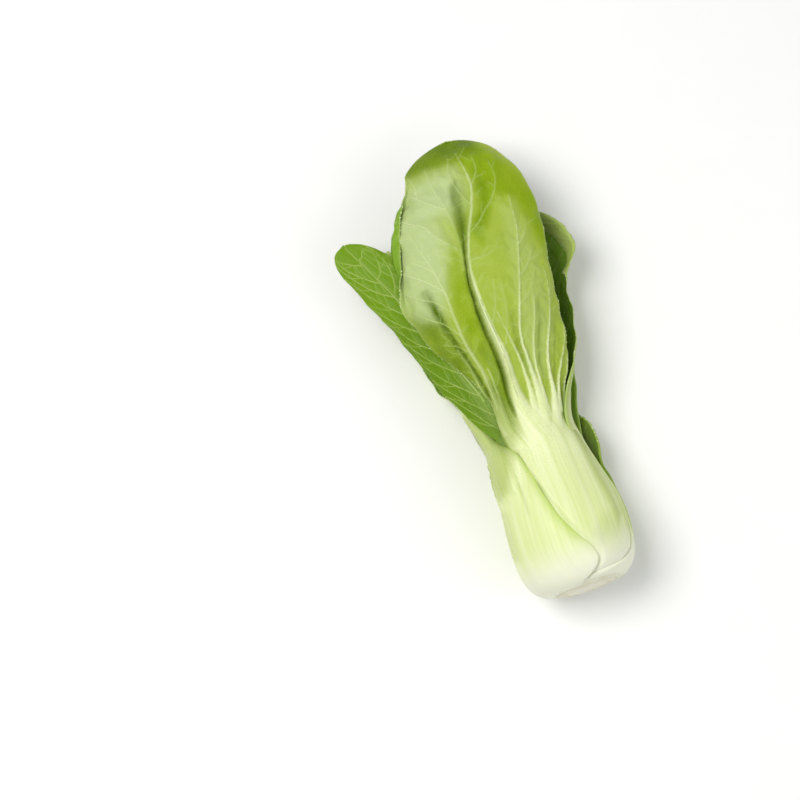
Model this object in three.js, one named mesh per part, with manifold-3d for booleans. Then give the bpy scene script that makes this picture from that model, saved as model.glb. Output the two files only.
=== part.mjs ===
// A head of baby bok choy, cut off at the root and lying on its back.
// Millimetres. +Z is up, the head's axis runs along +Y from the cut end to the leaf tips,
// and the origin is under the middle of the head, on the surface that it lies on.
//
// Every leaf is one solid: a thick, cupped petiole that wraps the bulb and thins out into a blade.
// Its outer face is swept along a midrib of stations, and its inner face lies a wall's depth inside.
import * as THREE from 'three';
import { mergeVertices } from 'three/addons/utils/BufferGeometryUtils.js';
import Module from 'manifold-3d';

const wasm = await Module();
wasm.setup();

// Driving dimensions of the bulb and the stem.
const bulbHeights = [0, 1, 3, 6, 10, 16, 24, 31, 38, 45, 52, 60, 70];
const bulbRadii = [11.5, 14.5, 18.0, 20.6, 22.2, 23.2, 23.4, 22.7, 20.9, 19.2, 17.5, 16.2, 15.2];
const stemRadius = 11.0;
const heelHeight = 11.0;
const lyingDepth = 23.4;
const pieceGap = 0.4;
const nestGap = 0.9;

// Walls: a blade's own, a petiole's along its margins, and how much thinner a petiole is at the neck.
const bladeWall = 1.0;
const petioleMargin = 1.1;
const neckThinning = 0.35;
const thinningStart = 20;
const largeWall = 4.1;
const leastRadius = 2.5;
const roomShare = 0.6;
const freeRoom = 100;
const edgeThinning = 0.4;

// The midrib runs on into the blade as a rib inside it, which fades out before the tip.
const ribShare = 0.7;
const ribWidth = 3.2;
const ribFadeStart = 20;
const ribFadeEnd = 12;

// Lengths over which a petiole passes into a blade.
const neckReach = 6;
const bladeReach = 44;
const turnReach = 20;
const hugReach = 20;
const sidewaysShare = 0.35;

// Cut solids are thinned to this tolerance, and their corners rounded to this lattice.
const cutTolerance = 0.06;
const lattice = 0.05;
const weldDistance = 1e-4;

// The stem's outline from the cut face to the growing point: radius and height.
const stemOutline = [
  [0, 0], [9.5, 0], [10.6, 0.12], [11.6, 0.36], [12.5, 0.68], [13.3, 1.05], [14.1, 1.5], [14.8, 2.05],
  [15.4, 2.8], [15.7, 3.7], [15.5, 4.7], [14.8, 5.8], [13.0, 6.6], [8.0, 7.5], [4.0, 8.5], [0, 9.1],
];
const stemSides = 36;
const stemShoulder = 4;

// Steps of the leaf solids: along the midrib, and across one half.
const rowsLarge = 24;
const rowsSmall = 16;
const halfColumnsLarge = 5;
const halfColumnsSmall = 3;
const sectionSteps = 8;
const stationStep = 7;
const headingStep = 0.5;
const rowCrowding = 1.25;
const tipRowShare = 0.2;
const tipFullness = 2.5;
const tipSliver = 0.03;

// Leaves from the outside of the bulb inwards. Azimuths are in degrees from +Z towards +X.
// wraps: height, degrees of the bulb wrapped on the left side, on the right side. The two smallest
// leaves at the heart have none, and stand free inside the others on their own rows.
// lean: height, distance that the petiole stands outside the bulb's radius.
// hug: how many times tighter than the bulb the left side and the right side bend at the neck.
// blade: y, x, z, roll, left half, right half, lift at the midrib, bend of left half, of right half.
const leaves = [
  {
    name: 'small_side_leaf', colour: 0xc3d98a, azimuth: 122, base: 0.4, neck: 38, wall: 2.2, tip: 11,
    wraps: [[0, 20, 20], [15, 24, 24], [31, 23, 23], [40, 22, 22]],
    lean: [[0, 0.9], [30, 1.2], [38, 2.6]],
    blade: [
      [44, 19.0, -11.0, 118, 9.5, 9.5, 0, 24, 24],
      [52, 20.2, -10.8, 116, 9.5, 9.5, 4, 24, 24],
      [60, 20.4, -10.8, 114, 8, 8, 6, 24, 24],
      [66, 20.2, -10.6, 112, 6, 6, 6, 20, 20],
    ],
  },
  {
    name: 'outer_leaf_left', colour: 0xd3e2a4, azimuth: -70, base: 0.6, neck: 56, wall: 5.0, tip: 22,
    wraps: [
      [0, 60, 58], [1.5, 62, 72], [3, 63, 82], [8, 64, 86], [15, 66, 77], [22, 66, 66], [31, 64, 57.5],
      [43, 62, 47], [56, 60, 32],
    ],
    lean: [[0, 0], [38, 0.3], [45, 1.8], [56, 3.6]],
    hug: [1, 2.1],
    blade: [
      [62, -18.8, 2.0, -70, 16, 6, 0, 50, 24],
      [70, -20.4, -0.5, -72, 15, 6, 0, 45, 26],
      [78, -22.2, -3.0, -78, 15, 7, 2, 44, 30],
      [90, -24.0, -5.0, -82, 16, 10, 6, 45, 40],
      [110, -27.0, -7.0, -90, 18, 15, 8, 50, 50],
      [130, -29.5, -8.5, -95, 16, 14, 8, 48, 45],
      [150, -31.0, -10.5, -98, 13, 12, 6, 34, 30],
    ],
  },
  {
    name: 'back_leaf_right', colour: 0xa9c765, azimuth: 152.5, base: 0.6, neck: 56, wall: 5.0, tip: 20,
    wraps: [[0, 60, 60], [15, 68, 68], [31, 66, 66], [45, 60, 60], [56, 56, 56]],
    lean: [[0, 0], [56, 1.0]],
    blade: [
      [64, 7.8, -15.8, 160, 16, 13.5, 0, 45, 45],
      [80, 9, -18.4, 168, 17, 14.5, 4, 30, 30],
      [100, 10.5, -21.4, 176, 17, 16, 4, 20, 20],
      [120, 11, -22.8, 180, 18, 16, 3, 14, 14],
      [140, 10, -23.2, 182, 18, 15, 2, 12, 12],
      [158, 8, -23.2, 183, 15, 13, 0, 10, 10],
    ],
  },
  {
    name: 'outer_leaf_front', colour: 0xb4cf6c, azimuth: 9, base: 2.0, neck: 56, wall: 5.2, tip: 9,
    wraps: [
      [2, 30, 20], [3, 34, 28], [4.4, 38, 44], [8, 48, 52], [13, 56, 57], [24, 62, 60], [31, 62, 62],
      [43, 62, 60], [56, 58, 58],
    ],
    blade: [
      [62, 0.6, 15.9, 6, 15.5, 16.5, 0, 56, 58],
      [74, -3.3, 17.0, 3, 10.5, 24.5, 4, 34, 50],
      [88, -3.2, 18.8, 0, 17, 27.5, 12, 42, 46],
      [102, -4.5, 20.4, -1, 27, 31, 20, 56, 48],
      [112, -5.5, 21.1, -2, 30.5, 32.5, 24, 62, 48],
      [127, -5.0, 21.4, -2, 32.8, 33.5, 24, 64, 46],
      [139.5, -1.4, 20.8, -1, 35, 31.5, 22, 62, 42],
      [149, 2.2, 19.9, 0, 34.6, 26.5, 18, 56, 38],
      [158, 5.2, 18.8, 1, 32, 20.5, 14, 46, 32],
      [167, 5.4, 16.8, 2, 27, 15, 10, 36, 26],
      [174, 4.6, 13.2, 3, 21, 11, 6, 28, 20],
      [180.8, 3.0, 8.0, 3, 16, 8, 4, 20, 16],
    ],
  },
  {
    name: 'back_leaf_left', colour: 0x9dbb58, azimuth: -122.5, base: 1.4, neck: 56, wall: 5.0, tip: 20,
    wraps: [[0, 50, 56], [15, 60, 62], [31, 60, 60], [45, 56, 56], [56, 54, 54]],
    lean: [[0, 0], [45, 0.6], [56, 1.5]],
    blade: [
      [64, -14.0, -12.0, -130, 13, 16, 0, 45, 45],
      [80, -15.8, -16.8, -145, 12, 16, 4, 34, 34],
      [100, -18.0, -21.2, -165, 13, 15, 4, 24, 24],
      [120, -19.0, -23.0, -178, 17, 14, 3, 14, 14],
      [140, -19, -23.2, -180, 16, 14, 2, 12, 12],
      [156, -18, -23.2, -180, 13, 12, 0, 10, 10],
    ],
  },
  {
    name: 'outer_leaf_right', colour: 0x7ea53c, azimuth: 100, base: 1.0, neck: 56, wall: 4.8, tip: 22,
    wraps: [[0, 66, 50], [4, 70, 52], [8, 67, 56], [15, 62, 58], [31, 60, 58], [45, 56, 56], [56, 52, 52]],
    blade: [
      [62, 15.2, -3.4, 104, 15, 15, 0, 50, 50],
      [76, 17.6, -6.0, 116, 15, 17, 4, 36, 45],
      [92, 20.8, -8.8, 127, 15, 18, 8, 30, 40],
      [104, 22.6, -10.6, 131, 14.5, 19, 10, 28, 40],
      [112, 23.4, -11.4, 133, 14.5, 19, 10, 28, 40],
      [124, 24.0, -12.4, 134, 19, 18.5, 10, 28, 38],
      [131, 23.4, -13.0, 135, 20.5, 17.5, 9, 28, 36],
      [140, 21.5, -13.6, 136, 18.5, 16, 8, 28, 32],
      [149, 19.0, -14.0, 136, 14, 14, 6, 28, 28],
    ],
  },
  {
    name: 'middle_leaf_left', colour: 0x86ad44, azimuth: -37.5, base: 5, neck: 56, wall: 4.4, tip: 11,
    wraps: [[5, 40, 40], [16, 60, 60], [31, 60, 60], [45, 56, 56], [56, 50, 50]],
    blade: [
      [62, -8.6, 8.8, -8, 7.2, 11, 0, 6, 44],
      [70, -12.2, 10.4, -12, 8.6, 13, 0, 16, 38],
      [84, -17.0, 11.6, -20, 12, 16, 4, 28, 36],
      [98, -22.3, 11.2, -25, 12.5, 18, 10, 32, 36],
      [114, -28.8, 9.8, -26, 11.5, 18, 12, 30, 34],
      [128, -34.8, 8.6, -24, 11, 15, 12, 28, 32],
      [141, -41.0, 7.8, -20, 10, 11, 10, 24, 28],
      [153.5, -47.2, 7.0, -18, 8, 6, 6, 20, 20],
    ],
  },
  {
    name: 'inner_leaf_back', colour: 0x9bbf55, azimuth: -175, base: 6, neck: 56, wall: 4.2, tip: 22,
    wraps: [[6, 40, 40], [16, 60, 60], [31, 60, 60], [45, 56, 56], [56, 50, 50]],
    blade: [
      [64, -1.5, -11.5, -176, 14, 14, 0, 45, 45],
      [84, -2.5, -13.0, -177, 17, 17, 6, 36, 36],
      [106, -3.5, -14.0, -178, 20, 20, 10, 34, 34],
      [128, -3.5, -14.0, -180, 19, 19, 10, 30, 30],
      [150, -2, -12.5, -182, 14, 14, 6, 24, 24],
    ],
  },
  {
    name: 'inner_leaf_right', colour: 0xa4c65c, azimuth: 47.5, base: 6, neck: 56, wall: 4.0, tip: 22,
    wraps: [[6, 40, 40], [16, 58, 58], [31, 58, 58], [45, 54, 54], [56, 50, 50]],
    blade: [
      [64, 8.6, 8.4, 46, 13, 13, 0, 45, 45],
      [80, 10.5, 9.5, 44, 15, 15, 6, 40, 40],
      [98, 12.5, 10.5, 40, 17, 16, 10, 38, 38],
      [114, 13.5, 10.5, 38, 15, 14, 10, 34, 34],
      [132, 14, 9.5, 36, 11, 11, 8, 28, 28],
    ],
  },
  {
    name: 'inner_leaf_left', colour: 0xa8c962, azimuth: -90, base: 7, neck: 56, wall: 3.8, tip: 20,
    wraps: [[7, 40, 40], [16, 56, 56], [31, 56, 56], [45, 52, 52], [56, 48, 48]],
    blade: [
      [64, -11.0, 0.0, -92, 12, 12, 0, 45, 45],
      [84, -14.5, -1.0, -98, 15, 15, 8, 44, 44],
      [106, -17.5, -2.5, -104, 17, 17, 10, 40, 40],
      [124, -19.0, -4.0, -106, 14, 14, 8, 34, 34],
      [140, -19.5, -5.5, -106, 11, 11, 6, 28, 28],
    ],
  },
  {
    name: 'heart_leaf_right', colour: 0xb7d36f, azimuth: 132.5, base: 8, neck: 56, wall: 3.4, tip: 18,
    wraps: [[8, 40, 40], [20, 56, 56], [56, 50, 50]],
    blade: [
      [60, 5.2, -4.8, 132, 9, 9, 0, 45, 45],
      [80, 6.5, -6.0, 134, 11, 11, 8, 45, 45],
      [98, 7.5, -6.8, 136, 12, 12, 12, 45, 45],
      [116, 8.0, -7.0, 138, 9, 9, 10, 34, 34],
    ],
  },
  {
    name: 'heart_leaf_front', colour: 0xbfd878, azimuth: -5, base: 10, neck: 50, wall: 2.6, tip: 16,
    blade: [
      [10, 0, 3.0, -5, 2.5, 2.5, 0, 45, 45],
      [22, -0.2, 5.4, -5, 4.6, 4.6, 0, 50, 50],
      [38, -0.3, 6.0, -5, 5.4, 5.4, 0, 50, 50],
      [56, -0.5, 6.0, -5, 7, 7, 0, 45, 45],
      [74, -1.0, 6.2, -6, 10, 10, 8, 45, 45],
      [90, -1.8, 6.8, -8, 10, 10, 12, 45, 45],
      [106, -2.5, 6.6, -10, 7, 7, 10, 34, 34],
    ],
  },
  {
    name: 'heart_leaf_left', colour: 0xc8de84, azimuth: -142.5, base: 10.5, neck: 46, wall: 2.0, tip: 14,
    blade: [
      [10.5, -1.2, -1.4, -142, 1.8, 1.8, 0, 45, 45],
      [22, -2.0, -2.4, -142, 3.2, 3.2, 0, 50, 50],
      [38, -2.4, -3.0, -142, 4.0, 4.0, 0, 50, 50],
      [54, -2.8, -3.6, -142, 5.5, 5.5, 0, 45, 45],
      [68, -3.2, -4.0, -142, 7.5, 7.5, 8, 45, 45],
      [80, -4.2, -4.6, -142, 7.5, 7.5, 10, 45, 45],
      [92, -5.0, -4.8, -142, 6, 6, 8, 34, 34],
    ],
  },
];

const degrees = Math.PI / 180;
const axis = new THREE.Vector3(0, 1, 0);

function smooth(from, to, value) {
  const t = THREE.MathUtils.clamp((value - from) / (to - from), 0, 1);
  return t * t * (3 - 2 * t);
}

// A smooth curve through rows of values at increasing knots.
function follow(knots, rows, at) {
  const last = knots.length - 1;
  const place = THREE.MathUtils.clamp(at, knots[0], knots[last]);
  let i = 0;
  while (i < last - 1 && place >= knots[i + 1]) i += 1;
  const step = (k) => knots[k + 1] - knots[k];
  const slope = (k, c) => (rows[k + 1][c] - rows[k][c]) / step(k);
  const tangent = (k, c) => {
    if (k === 0) return slope(0, c);
    if (k === last) return slope(last - 1, c);
    return (slope(k, c) * step(k - 1) + slope(k - 1, c) * step(k)) / (step(k - 1) + step(k));
  };
  const h = step(i);
  const u = (place - knots[i]) / h;
  return rows[0].map((_, c) => {
    const start = (2 * u ** 3 - 3 * u ** 2 + 1) * rows[i][c] + (u ** 3 - 2 * u ** 2 + u) * h * tangent(i, c);
    const end = (3 * u ** 2 - 2 * u ** 3) * rows[i + 1][c] + (u ** 3 - u ** 2) * h * tangent(i + 1, c);
    return start + end;
  });
}

const table = (rows, at) => follow(rows.map((row) => row[0]), rows.map((row) => row.slice(1)), at);
const bulbRadius = (y) => follow(bulbHeights, bulbRadii.map((r) => [r]), y)[0];
const nearNeck = (leaf, y) => smooth(leaf.neck - neckReach, leaf.neck + neckReach, y);

// A petiole is thickest along its middle, and thins towards its margins and towards the neck.
function petioleWall(leaf, u, y) {
  const middle = leaf.wall * (1 - neckThinning * smooth(thinningStart, leaf.neck, y));
  return petioleMargin + (middle - petioleMargin) * (1 - Math.min(u * u, 1));
}

// How far in a petiole lies at an azimuth and height, to leave room for the leaves outside it.
function coverDepth(index, theta, y) {
  if (!leaves[index].wraps) return 0;
  let depth = 0;
  for (const outer of leaves.slice(0, index)) {
    const [left, right] = table(outer.wraps, y);
    const turn = THREE.MathUtils.euclideanModulo(theta - outer.azimuth + 180, 360) - 180;
    const u = Math.abs(turn) / (turn < 0 ? left : right);
    const inside = 1 - smooth(1.0, 1.1, u);
    const started = smooth(outer.base - 1, outer.base + 6, y);
    const ended = 1 - nearNeck(outer, y);
    depth += (petioleWall(outer, u, y) + nestGap) * inside * started * ended;
  }
  return depth * (1 - nearNeck(leaves[index], y));
}

// Stations of a leaf's midrib: the heel curves out from the stem, the petiole follows the bulb,
// and the blade's own rows come last.
function stationsOf(leaf) {
  if (!leaf.wraps) return leaf.blade;
  const heelSteps = [0, 22, 44, 66, 88];
  const heights = heelSteps.map((a) => leaf.base + heelHeight * (1 - Math.cos(a * degrees)));
  for (let y = heights[4] + stationStep; y < leaf.neck - 3; y += stationStep) heights.push(y);
  heights.push(leaf.neck);
  const fullRadius = bulbRadius(leaf.base + heelHeight);
  const petiole = heights.map((y) => {
    const t = Math.min(1, (y - leaf.base) / heelHeight);
    const bulge = Math.sqrt(Math.max(0, 1 - (1 - t) ** 2));
    const heel = THREE.MathUtils.lerp(stemRadius + pieceGap, fullRadius, bulge);
    const outside = bulbRadius(y) + (leaf.lean ? table(leaf.lean, y)[0] : 0);
    const r = t < 1 ? Math.min(outside, heel) : outside;
    const [left, right] = table(leaf.wraps, y);
    const x = r * Math.sin(leaf.azimuth * degrees);
    const z = r * Math.cos(leaf.azimuth * degrees);
    const atNeck = leaf.hug ? smooth(leaf.neck - hugReach, leaf.neck, y) : 0;
    const [bendLeft, bendRight] = (leaf.hug ?? [1, 1]).map((times) => 1 + (times - 1) * atNeck);
    const halves = [r * left * degrees, r * right * degrees];
    return [y, x, z, leaf.azimuth, ...halves, 0, left * bendLeft, right * bendRight];
  });
  return petiole.concat(leaf.blade);
}

// The outer face of a leaf as a grid of points, with each point's inward wall.
function sheetOf(leaf, index, rows, halfColumns) {
  const stations = stationsOf(leaf);
  const centres = stations.map(([y, x, z]) => new THREE.Vector3(x, y, z));
  const lengths = [0];
  for (let i = 1; i < centres.length; i += 1) {
    lengths.push(lengths[i - 1] + centres[i].distanceTo(centres[i - 1]));
  }
  const end = lengths[lengths.length - 1];
  const capStart = end - leaf.tip;
  const capRows = Math.max(4, Math.round(rows * tipRowShare));
  const samples = [];
  const plainRows = rows - capRows;
  for (let i = 0; i < plainRows; i += 1) samples.push(capStart * (i / plainRows) ** rowCrowding);
  for (let i = 0; i < capRows; i += 1) {
    samples.push(capStart + leaf.tip * Math.sin((Math.PI / 2) * (i / (capRows - 1))));
  }
  const neckLength = lengths[stations.findIndex(([y]) => y >= leaf.neck)];
  const at = (s) => {
    const [y, x, z, ...rest] = follow(lengths, stations, s);
    return { centre: new THREE.Vector3(x, y, z), rest };
  };
  const grid = samples.map((s) => {
    const { centre, rest } = at(s);
    const [roll, leftHalf, rightHalf, lift, leftBend, rightBend] = rest;
    const ahead = at(Math.min(s + headingStep, end)).centre;
    const heading = ahead.sub(at(Math.max(s - headingStep, 0)).centre);
    heading.x *= sidewaysShare;
    heading.normalize();
    const bladeShare = smooth(neckLength, neckLength + turnReach, s);
    const along = axis.clone().lerp(heading, bladeShare).normalize();
    const out = new THREE.Vector3(Math.sin(roll * degrees), 0, Math.cos(roll * degrees));
    const normal = out.addScaledVector(along, -out.dot(along)).normalize();
    const side = new THREE.Vector3().crossVectors(along, normal);
    const capShare = THREE.MathUtils.clamp((s - capStart) / leaf.tip, 0, 1);
    const rounding = Math.max((1 - capShare ** tipFullness) ** (1 / tipFullness), tipSliver);
    const half = (sign, width, bend) => {
      const points = [];
      const point = centre.clone();
      const steps = halfColumns * sectionSteps;
      for (let k = 0; k < steps; k += 1) {
        const angle = (-lift + (bend + lift) * ((k + 0.5) / steps)) * degrees;
        const stride = (width * rounding) / steps;
        point.addScaledVector(side, sign * Math.cos(angle) * stride);
        point.addScaledVector(normal, -Math.sin(angle) * stride);
        if ((k + 1) % sectionSteps === 0) points.push(point.clone());
      }
      return points;
    };
    const left = half(-1, leftHalf, leftBend).reverse();
    const right = half(1, rightHalf, rightBend);
    const halfWidth = 0.5 * (leftHalf + rightHalf) * rounding;
    return { points: [...left, centre.clone(), ...right], halfWidth, leftHalf, rightHalf, y: centre.y };
  });
  for (const row of grid) {
    for (const point of row.points) {
      const radius = Math.hypot(point.x, point.z);
      const theta = Math.atan2(point.x, point.z) / degrees;
      const shrink = Math.max(radius - coverDepth(index, theta, point.y), leastRadius) / radius;
      point.x *= shrink;
      point.z = Math.max(point.z * shrink, -lyingDepth);
    }
  }
  return grid;
}

// A closed solid between a leaf's outer face and its inner face; grow makes it larger all round.
function leafGeometry(leaf, index, grow = 0) {
  const large = leaf.wall > largeWall;
  const rows = large ? rowsLarge : rowsSmall;
  const halfColumns = large ? halfColumnsLarge : halfColumnsSmall;
  const columns = 2 * halfColumns + 1;
  const grid = sheetOf(leaf, index, rows, halfColumns);
  const outer = [];
  const inner = [];
  const lastHeight = leaf.blade[leaf.blade.length - 1][0];
  for (let i = 0; i < rows; i += 1) {
    for (let j = 0; j < columns; j += 1) {
      const here = grid[i].points[j];
      const across = grid[i].points[Math.min(j + 1, columns - 1)].clone()
        .sub(grid[i].points[Math.max(j - 1, 0)]);
      const along = grid[Math.min(i + 1, rows - 1)].points[j].clone()
        .sub(grid[Math.max(i - 1, 0)].points[j]);
      const normal = new THREE.Vector3().crossVectors(across, along).normalize();
      const u = Math.abs(j - halfColumns) / halfColumns;
      const bladeShare = smooth(leaf.neck - neckReach, leaf.neck + bladeReach, grid[i].y);
      const distance = u * (j < halfColumns ? grid[i].leftHalf : grid[i].rightHalf);
      const rib = leaf.wall * ribShare * Math.exp(-((distance / ribWidth) ** 2))
        * (1 - smooth(leaf.neck + ribFadeStart, lastHeight - ribFadeEnd, grid[i].y));
      const wall = THREE.MathUtils.lerp(petioleWall(leaf, u, grid[i].y), bladeWall + rib, bladeShare);
      const free = freeRoom * smooth(leaf.neck, leaf.neck + turnReach, grid[i].y);
      const room = roomShare * Math.hypot(here.x, here.z) + free;
      const depth = Math.min(wall, room, bladeWall + edgeThinning * grid[i].halfWidth);
      const edge = new THREE.Vector3();
      if (grow > 0) {
        const sideways = across.normalize().multiplyScalar(j === 0 ? -grow : grow);
        if (j === 0 || j === columns - 1) edge.add(sideways);
        const lengthways = along.normalize().multiplyScalar(i === 0 ? -grow : grow);
        if (i === 0 || i === rows - 1) edge.add(lengthways);
      }
      outer.push(here.clone().addScaledVector(normal, grow).add(edge));
      inner.push(here.clone().addScaledVector(normal, -depth - grow).add(edge));
    }
  }
  const indices = [];
  const quad = (a, b, c, d) => indices.push(a, b, c, a, c, d);
  const behind = outer.length;
  for (let i = 0; i < rows - 1; i += 1) {
    for (let j = 0; j < columns - 1; j += 1) {
      const a = i * columns + j;
      quad(a, a + 1, a + 1 + columns, a + columns);
      quad(behind + a, behind + a + columns, behind + a + 1 + columns, behind + a + 1);
    }
  }
  const rim = [];
  for (let j = 0; j < columns - 1; j += 1) rim.push(j);
  for (let i = 0; i < rows - 1; i += 1) rim.push(i * columns + columns - 1);
  for (let j = columns - 1; j > 0; j -= 1) rim.push((rows - 1) * columns + j);
  for (let i = rows - 1; i > 0; i -= 1) rim.push(i * columns);
  rim.forEach((a, k) => {
    const b = rim[(k + 1) % rim.length];
    quad(b, a, behind + a, behind + b);
  });
  const geometry = new THREE.BufferGeometry();
  const positions = [...outer, ...inner].flatMap((point) => point.toArray());
  geometry.setAttribute('position', new THREE.Float32BufferAttribute(positions, 3));
  geometry.setIndex(indices);
  return geometry;
}

function toSolid(geometry) {
  const bare = geometry.clone();
  bare.deleteAttribute('normal');
  bare.deleteAttribute('uv');
  const merged = mergeVertices(bare, weldDistance);
  return new wasm.Manifold(new wasm.Mesh({
    numProp: 3,
    vertProperties: Float32Array.from(merged.attributes.position.array),
    triVerts: Uint32Array.from(merged.index.array),
  }));
}

// Round a cut solid's corners to a fine lattice, so that the cuts leave no edges too short to keep.
function settled(solid) {
  const mesh = solid.getMesh();
  const rounded = Float32Array.from(mesh.vertProperties, (value) => Math.round(value / lattice) * lattice);
  const geometry = new THREE.BufferGeometry();
  geometry.setAttribute('position', new THREE.BufferAttribute(rounded, 3));
  geometry.setIndex(new THREE.BufferAttribute(mesh.triVerts, 1));
  return toSolid(geometry).simplify(cutTolerance);
}

function toGeometry(solid) {
  const mesh = solid.getMesh();
  const geometry = new THREE.BufferGeometry();
  geometry.setAttribute('position', new THREE.BufferAttribute(mesh.vertProperties, 3));
  geometry.setIndex(new THREE.BufferAttribute(mesh.triVerts, 1));
  geometry.computeVertexNormals();
  return geometry;
}

const largestBody = (solid) => solid.decompose().sort((a, b) => b.volume() - a.volume())[0];

function stemGeometry(grow = 0) {
  const profile = stemOutline.map(([r, y]) => {
    return new THREE.Vector2(r > 0 ? r + grow : 0, y > stemShoulder ? y + grow : y);
  });
  return new THREE.LatheGeometry(profile, stemSides);
}

function pieceMaterial(colour) {
  return new THREE.MeshStandardMaterial({ color: colour, roughness: 0.45, metalness: 0 });
}

// Each leaf is cut back to the stem and to the leaves outside it, with the gap kept between them.
const pieces = [{ name: 'stem_base', colour: 0xe6e4d2, solid: toSolid(stemGeometry()) }];
const inTheWay = [toSolid(stemGeometry(pieceGap))];
leaves.forEach((leaf, index) => {
  let solid = toSolid(leafGeometry(leaf, index));
  for (const grown of inTheWay) solid = solid.subtract(grown);
  for (const outer of pieces) solid = solid.subtract(outer.solid);
  const body = largestBody(solid).asOriginal().simplify(cutTolerance);
  pieces.push({ name: leaf.name, colour: leaf.colour, solid: settled(body) });
  inTheWay.push(toSolid(leafGeometry(leaf, index, pieceGap)));
});

// Stand the head on its lowest point, with the origin under the middle of its box.
const group = new THREE.Group();
for (const { name, colour, solid } of pieces) {
  const mesh = new THREE.Mesh(toGeometry(solid), pieceMaterial(colour));
  mesh.name = name;
  group.add(mesh);
}
const box = new THREE.Box3().setFromObject(group);
const middle = box.getCenter(new THREE.Vector3());
group.position.set(-middle.x, -middle.y, -box.min.z);
group.updateMatrixWorld(true);

export default group;
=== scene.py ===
"""A head of baby bok choy lying on its back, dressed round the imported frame.

Leaf sizes are in millimetres in the head's own axes: +Y from the cut face to the leaf tips, +Z up and
the origin in the middle of the cut face. They become metres in the frame when a mesh is made.
"""

import logging
import math
from dataclasses import dataclass, field
from enum import Enum
from functools import cached_property

import bpy
import numpy as np
from bpy.types import ID, Material, Mesh, Node, NodeSocket, NodeTree, Object
from mathutils import Matrix, Vector
from mathutils.kdtree import KDTree


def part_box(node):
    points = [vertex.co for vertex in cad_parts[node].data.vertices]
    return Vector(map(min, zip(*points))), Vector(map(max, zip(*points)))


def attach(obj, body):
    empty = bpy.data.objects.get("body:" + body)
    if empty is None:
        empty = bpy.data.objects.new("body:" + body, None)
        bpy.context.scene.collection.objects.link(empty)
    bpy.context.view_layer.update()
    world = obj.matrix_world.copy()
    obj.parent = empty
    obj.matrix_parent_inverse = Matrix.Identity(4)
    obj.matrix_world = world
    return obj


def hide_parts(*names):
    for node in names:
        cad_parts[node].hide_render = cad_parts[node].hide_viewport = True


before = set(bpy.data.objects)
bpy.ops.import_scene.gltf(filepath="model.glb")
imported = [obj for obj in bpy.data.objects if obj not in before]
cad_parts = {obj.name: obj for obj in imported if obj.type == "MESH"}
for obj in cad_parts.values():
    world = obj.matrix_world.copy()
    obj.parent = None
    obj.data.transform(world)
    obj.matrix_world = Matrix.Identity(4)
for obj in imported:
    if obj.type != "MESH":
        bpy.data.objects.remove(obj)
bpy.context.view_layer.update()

MM = 0.001
BODY = "root"
LOG = logging.getLogger("bok_choy")

Array = np.ndarray
Colour = tuple[float, float, float]

# How every leaf's sheet is laid out, and how far the head's axis lies above the floor.
LYING_DEPTH = 23.4
BLADE_WALL = 0.5
TIP_FULLNESS = 2.5
SECTION_STEPS = 6
LIP_START = 0.955
LIPS = (0.975, 0.99, 0.997, 1.0)
TIP_ROWS_SHARE = 0.16
SIDEWAYS_SHARE = 0.35
LOOK_DOWN_TILT = 12


def smooth(start: float, end: float, value: Array) -> Array:
    """Ease from 0 at start to 1 at end.

    Args:
        start: Where the ease begins.
        end: Where it is complete.
        value: Places to read it at.

    Returns:
        The eased share at each place.
    """
    t = np.clip((np.asarray(value, float) - start) / (end - start), 0.0, 1.0)
    return t * t * (3.0 - 2.0 * t)


def follow(knots: Array, rows: Array, at: Array) -> Array:
    """Read a smooth curve through rows of values at increasing knots.

    Args:
        knots: Increasing places of the rows.
        rows: One row of values for each knot.
        at: Places to read, held inside the knots.

    Returns:
        One row of values for each place.
    """
    knots = np.asarray(knots, float)
    rows = np.asarray(rows, float)
    steps = np.diff(knots)
    slopes = np.diff(rows, axis=0) / steps[:, None]
    tangents = np.empty_like(rows)
    tangents[0], tangents[-1] = slopes[0], slopes[-1]
    weights = (steps[:-1] + steps[1:])[:, None]
    tangents[1:-1] = (slopes[1:] * steps[:-1, None] + slopes[:-1] * steps[1:, None]) / weights
    at = np.clip(np.atleast_1d(np.asarray(at, float)), knots[0], knots[-1])
    i = np.clip(np.searchsorted(knots, at, side="right") - 1, 0, len(knots) - 2)
    u = ((at - knots[i]) / steps[i])[:, None]
    h = steps[i][:, None]
    start = (2 * u**3 - 3 * u**2 + 1) * rows[i] + (u**3 - 2 * u**2 + u) * h * tangents[i]
    end = (3 * u**2 - 2 * u**3) * rows[i + 1] + (u**3 - u**2) * h * tangents[i + 1]
    return start + end


def table(rows: tuple, at: Array) -> Array:
    """Read a table whose first column is the height, keeping the shape of the places read.

    Args:
        rows: Rows of a height and its values.
        at: Heights to read.

    Returns:
        The values, with one axis more than the heights.
    """
    values = np.array(rows, float)
    at = np.asarray(at, float)
    found = follow(values[:, 0], values[:, 1:], at.ravel())
    return found.reshape(at.shape + (values.shape[1] - 1,))


def unit(vectors: Array) -> Array:
    """Scale vectors to length one."""
    return vectors / np.maximum(np.linalg.norm(vectors, axis=-1, keepdims=True), 1e-9)


def travelled(points: Array) -> Array:
    """Give the distance walked along a line at each of its points."""
    return np.concatenate([[0], np.cumsum(np.linalg.norm(np.diff(points, axis=0), axis=1))])


def bump(distance: Array, width: Array) -> Array:
    """Give a soft bump that is 1 at no distance and fades over a width."""
    return np.exp(-((distance / width) ** 2))


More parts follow.
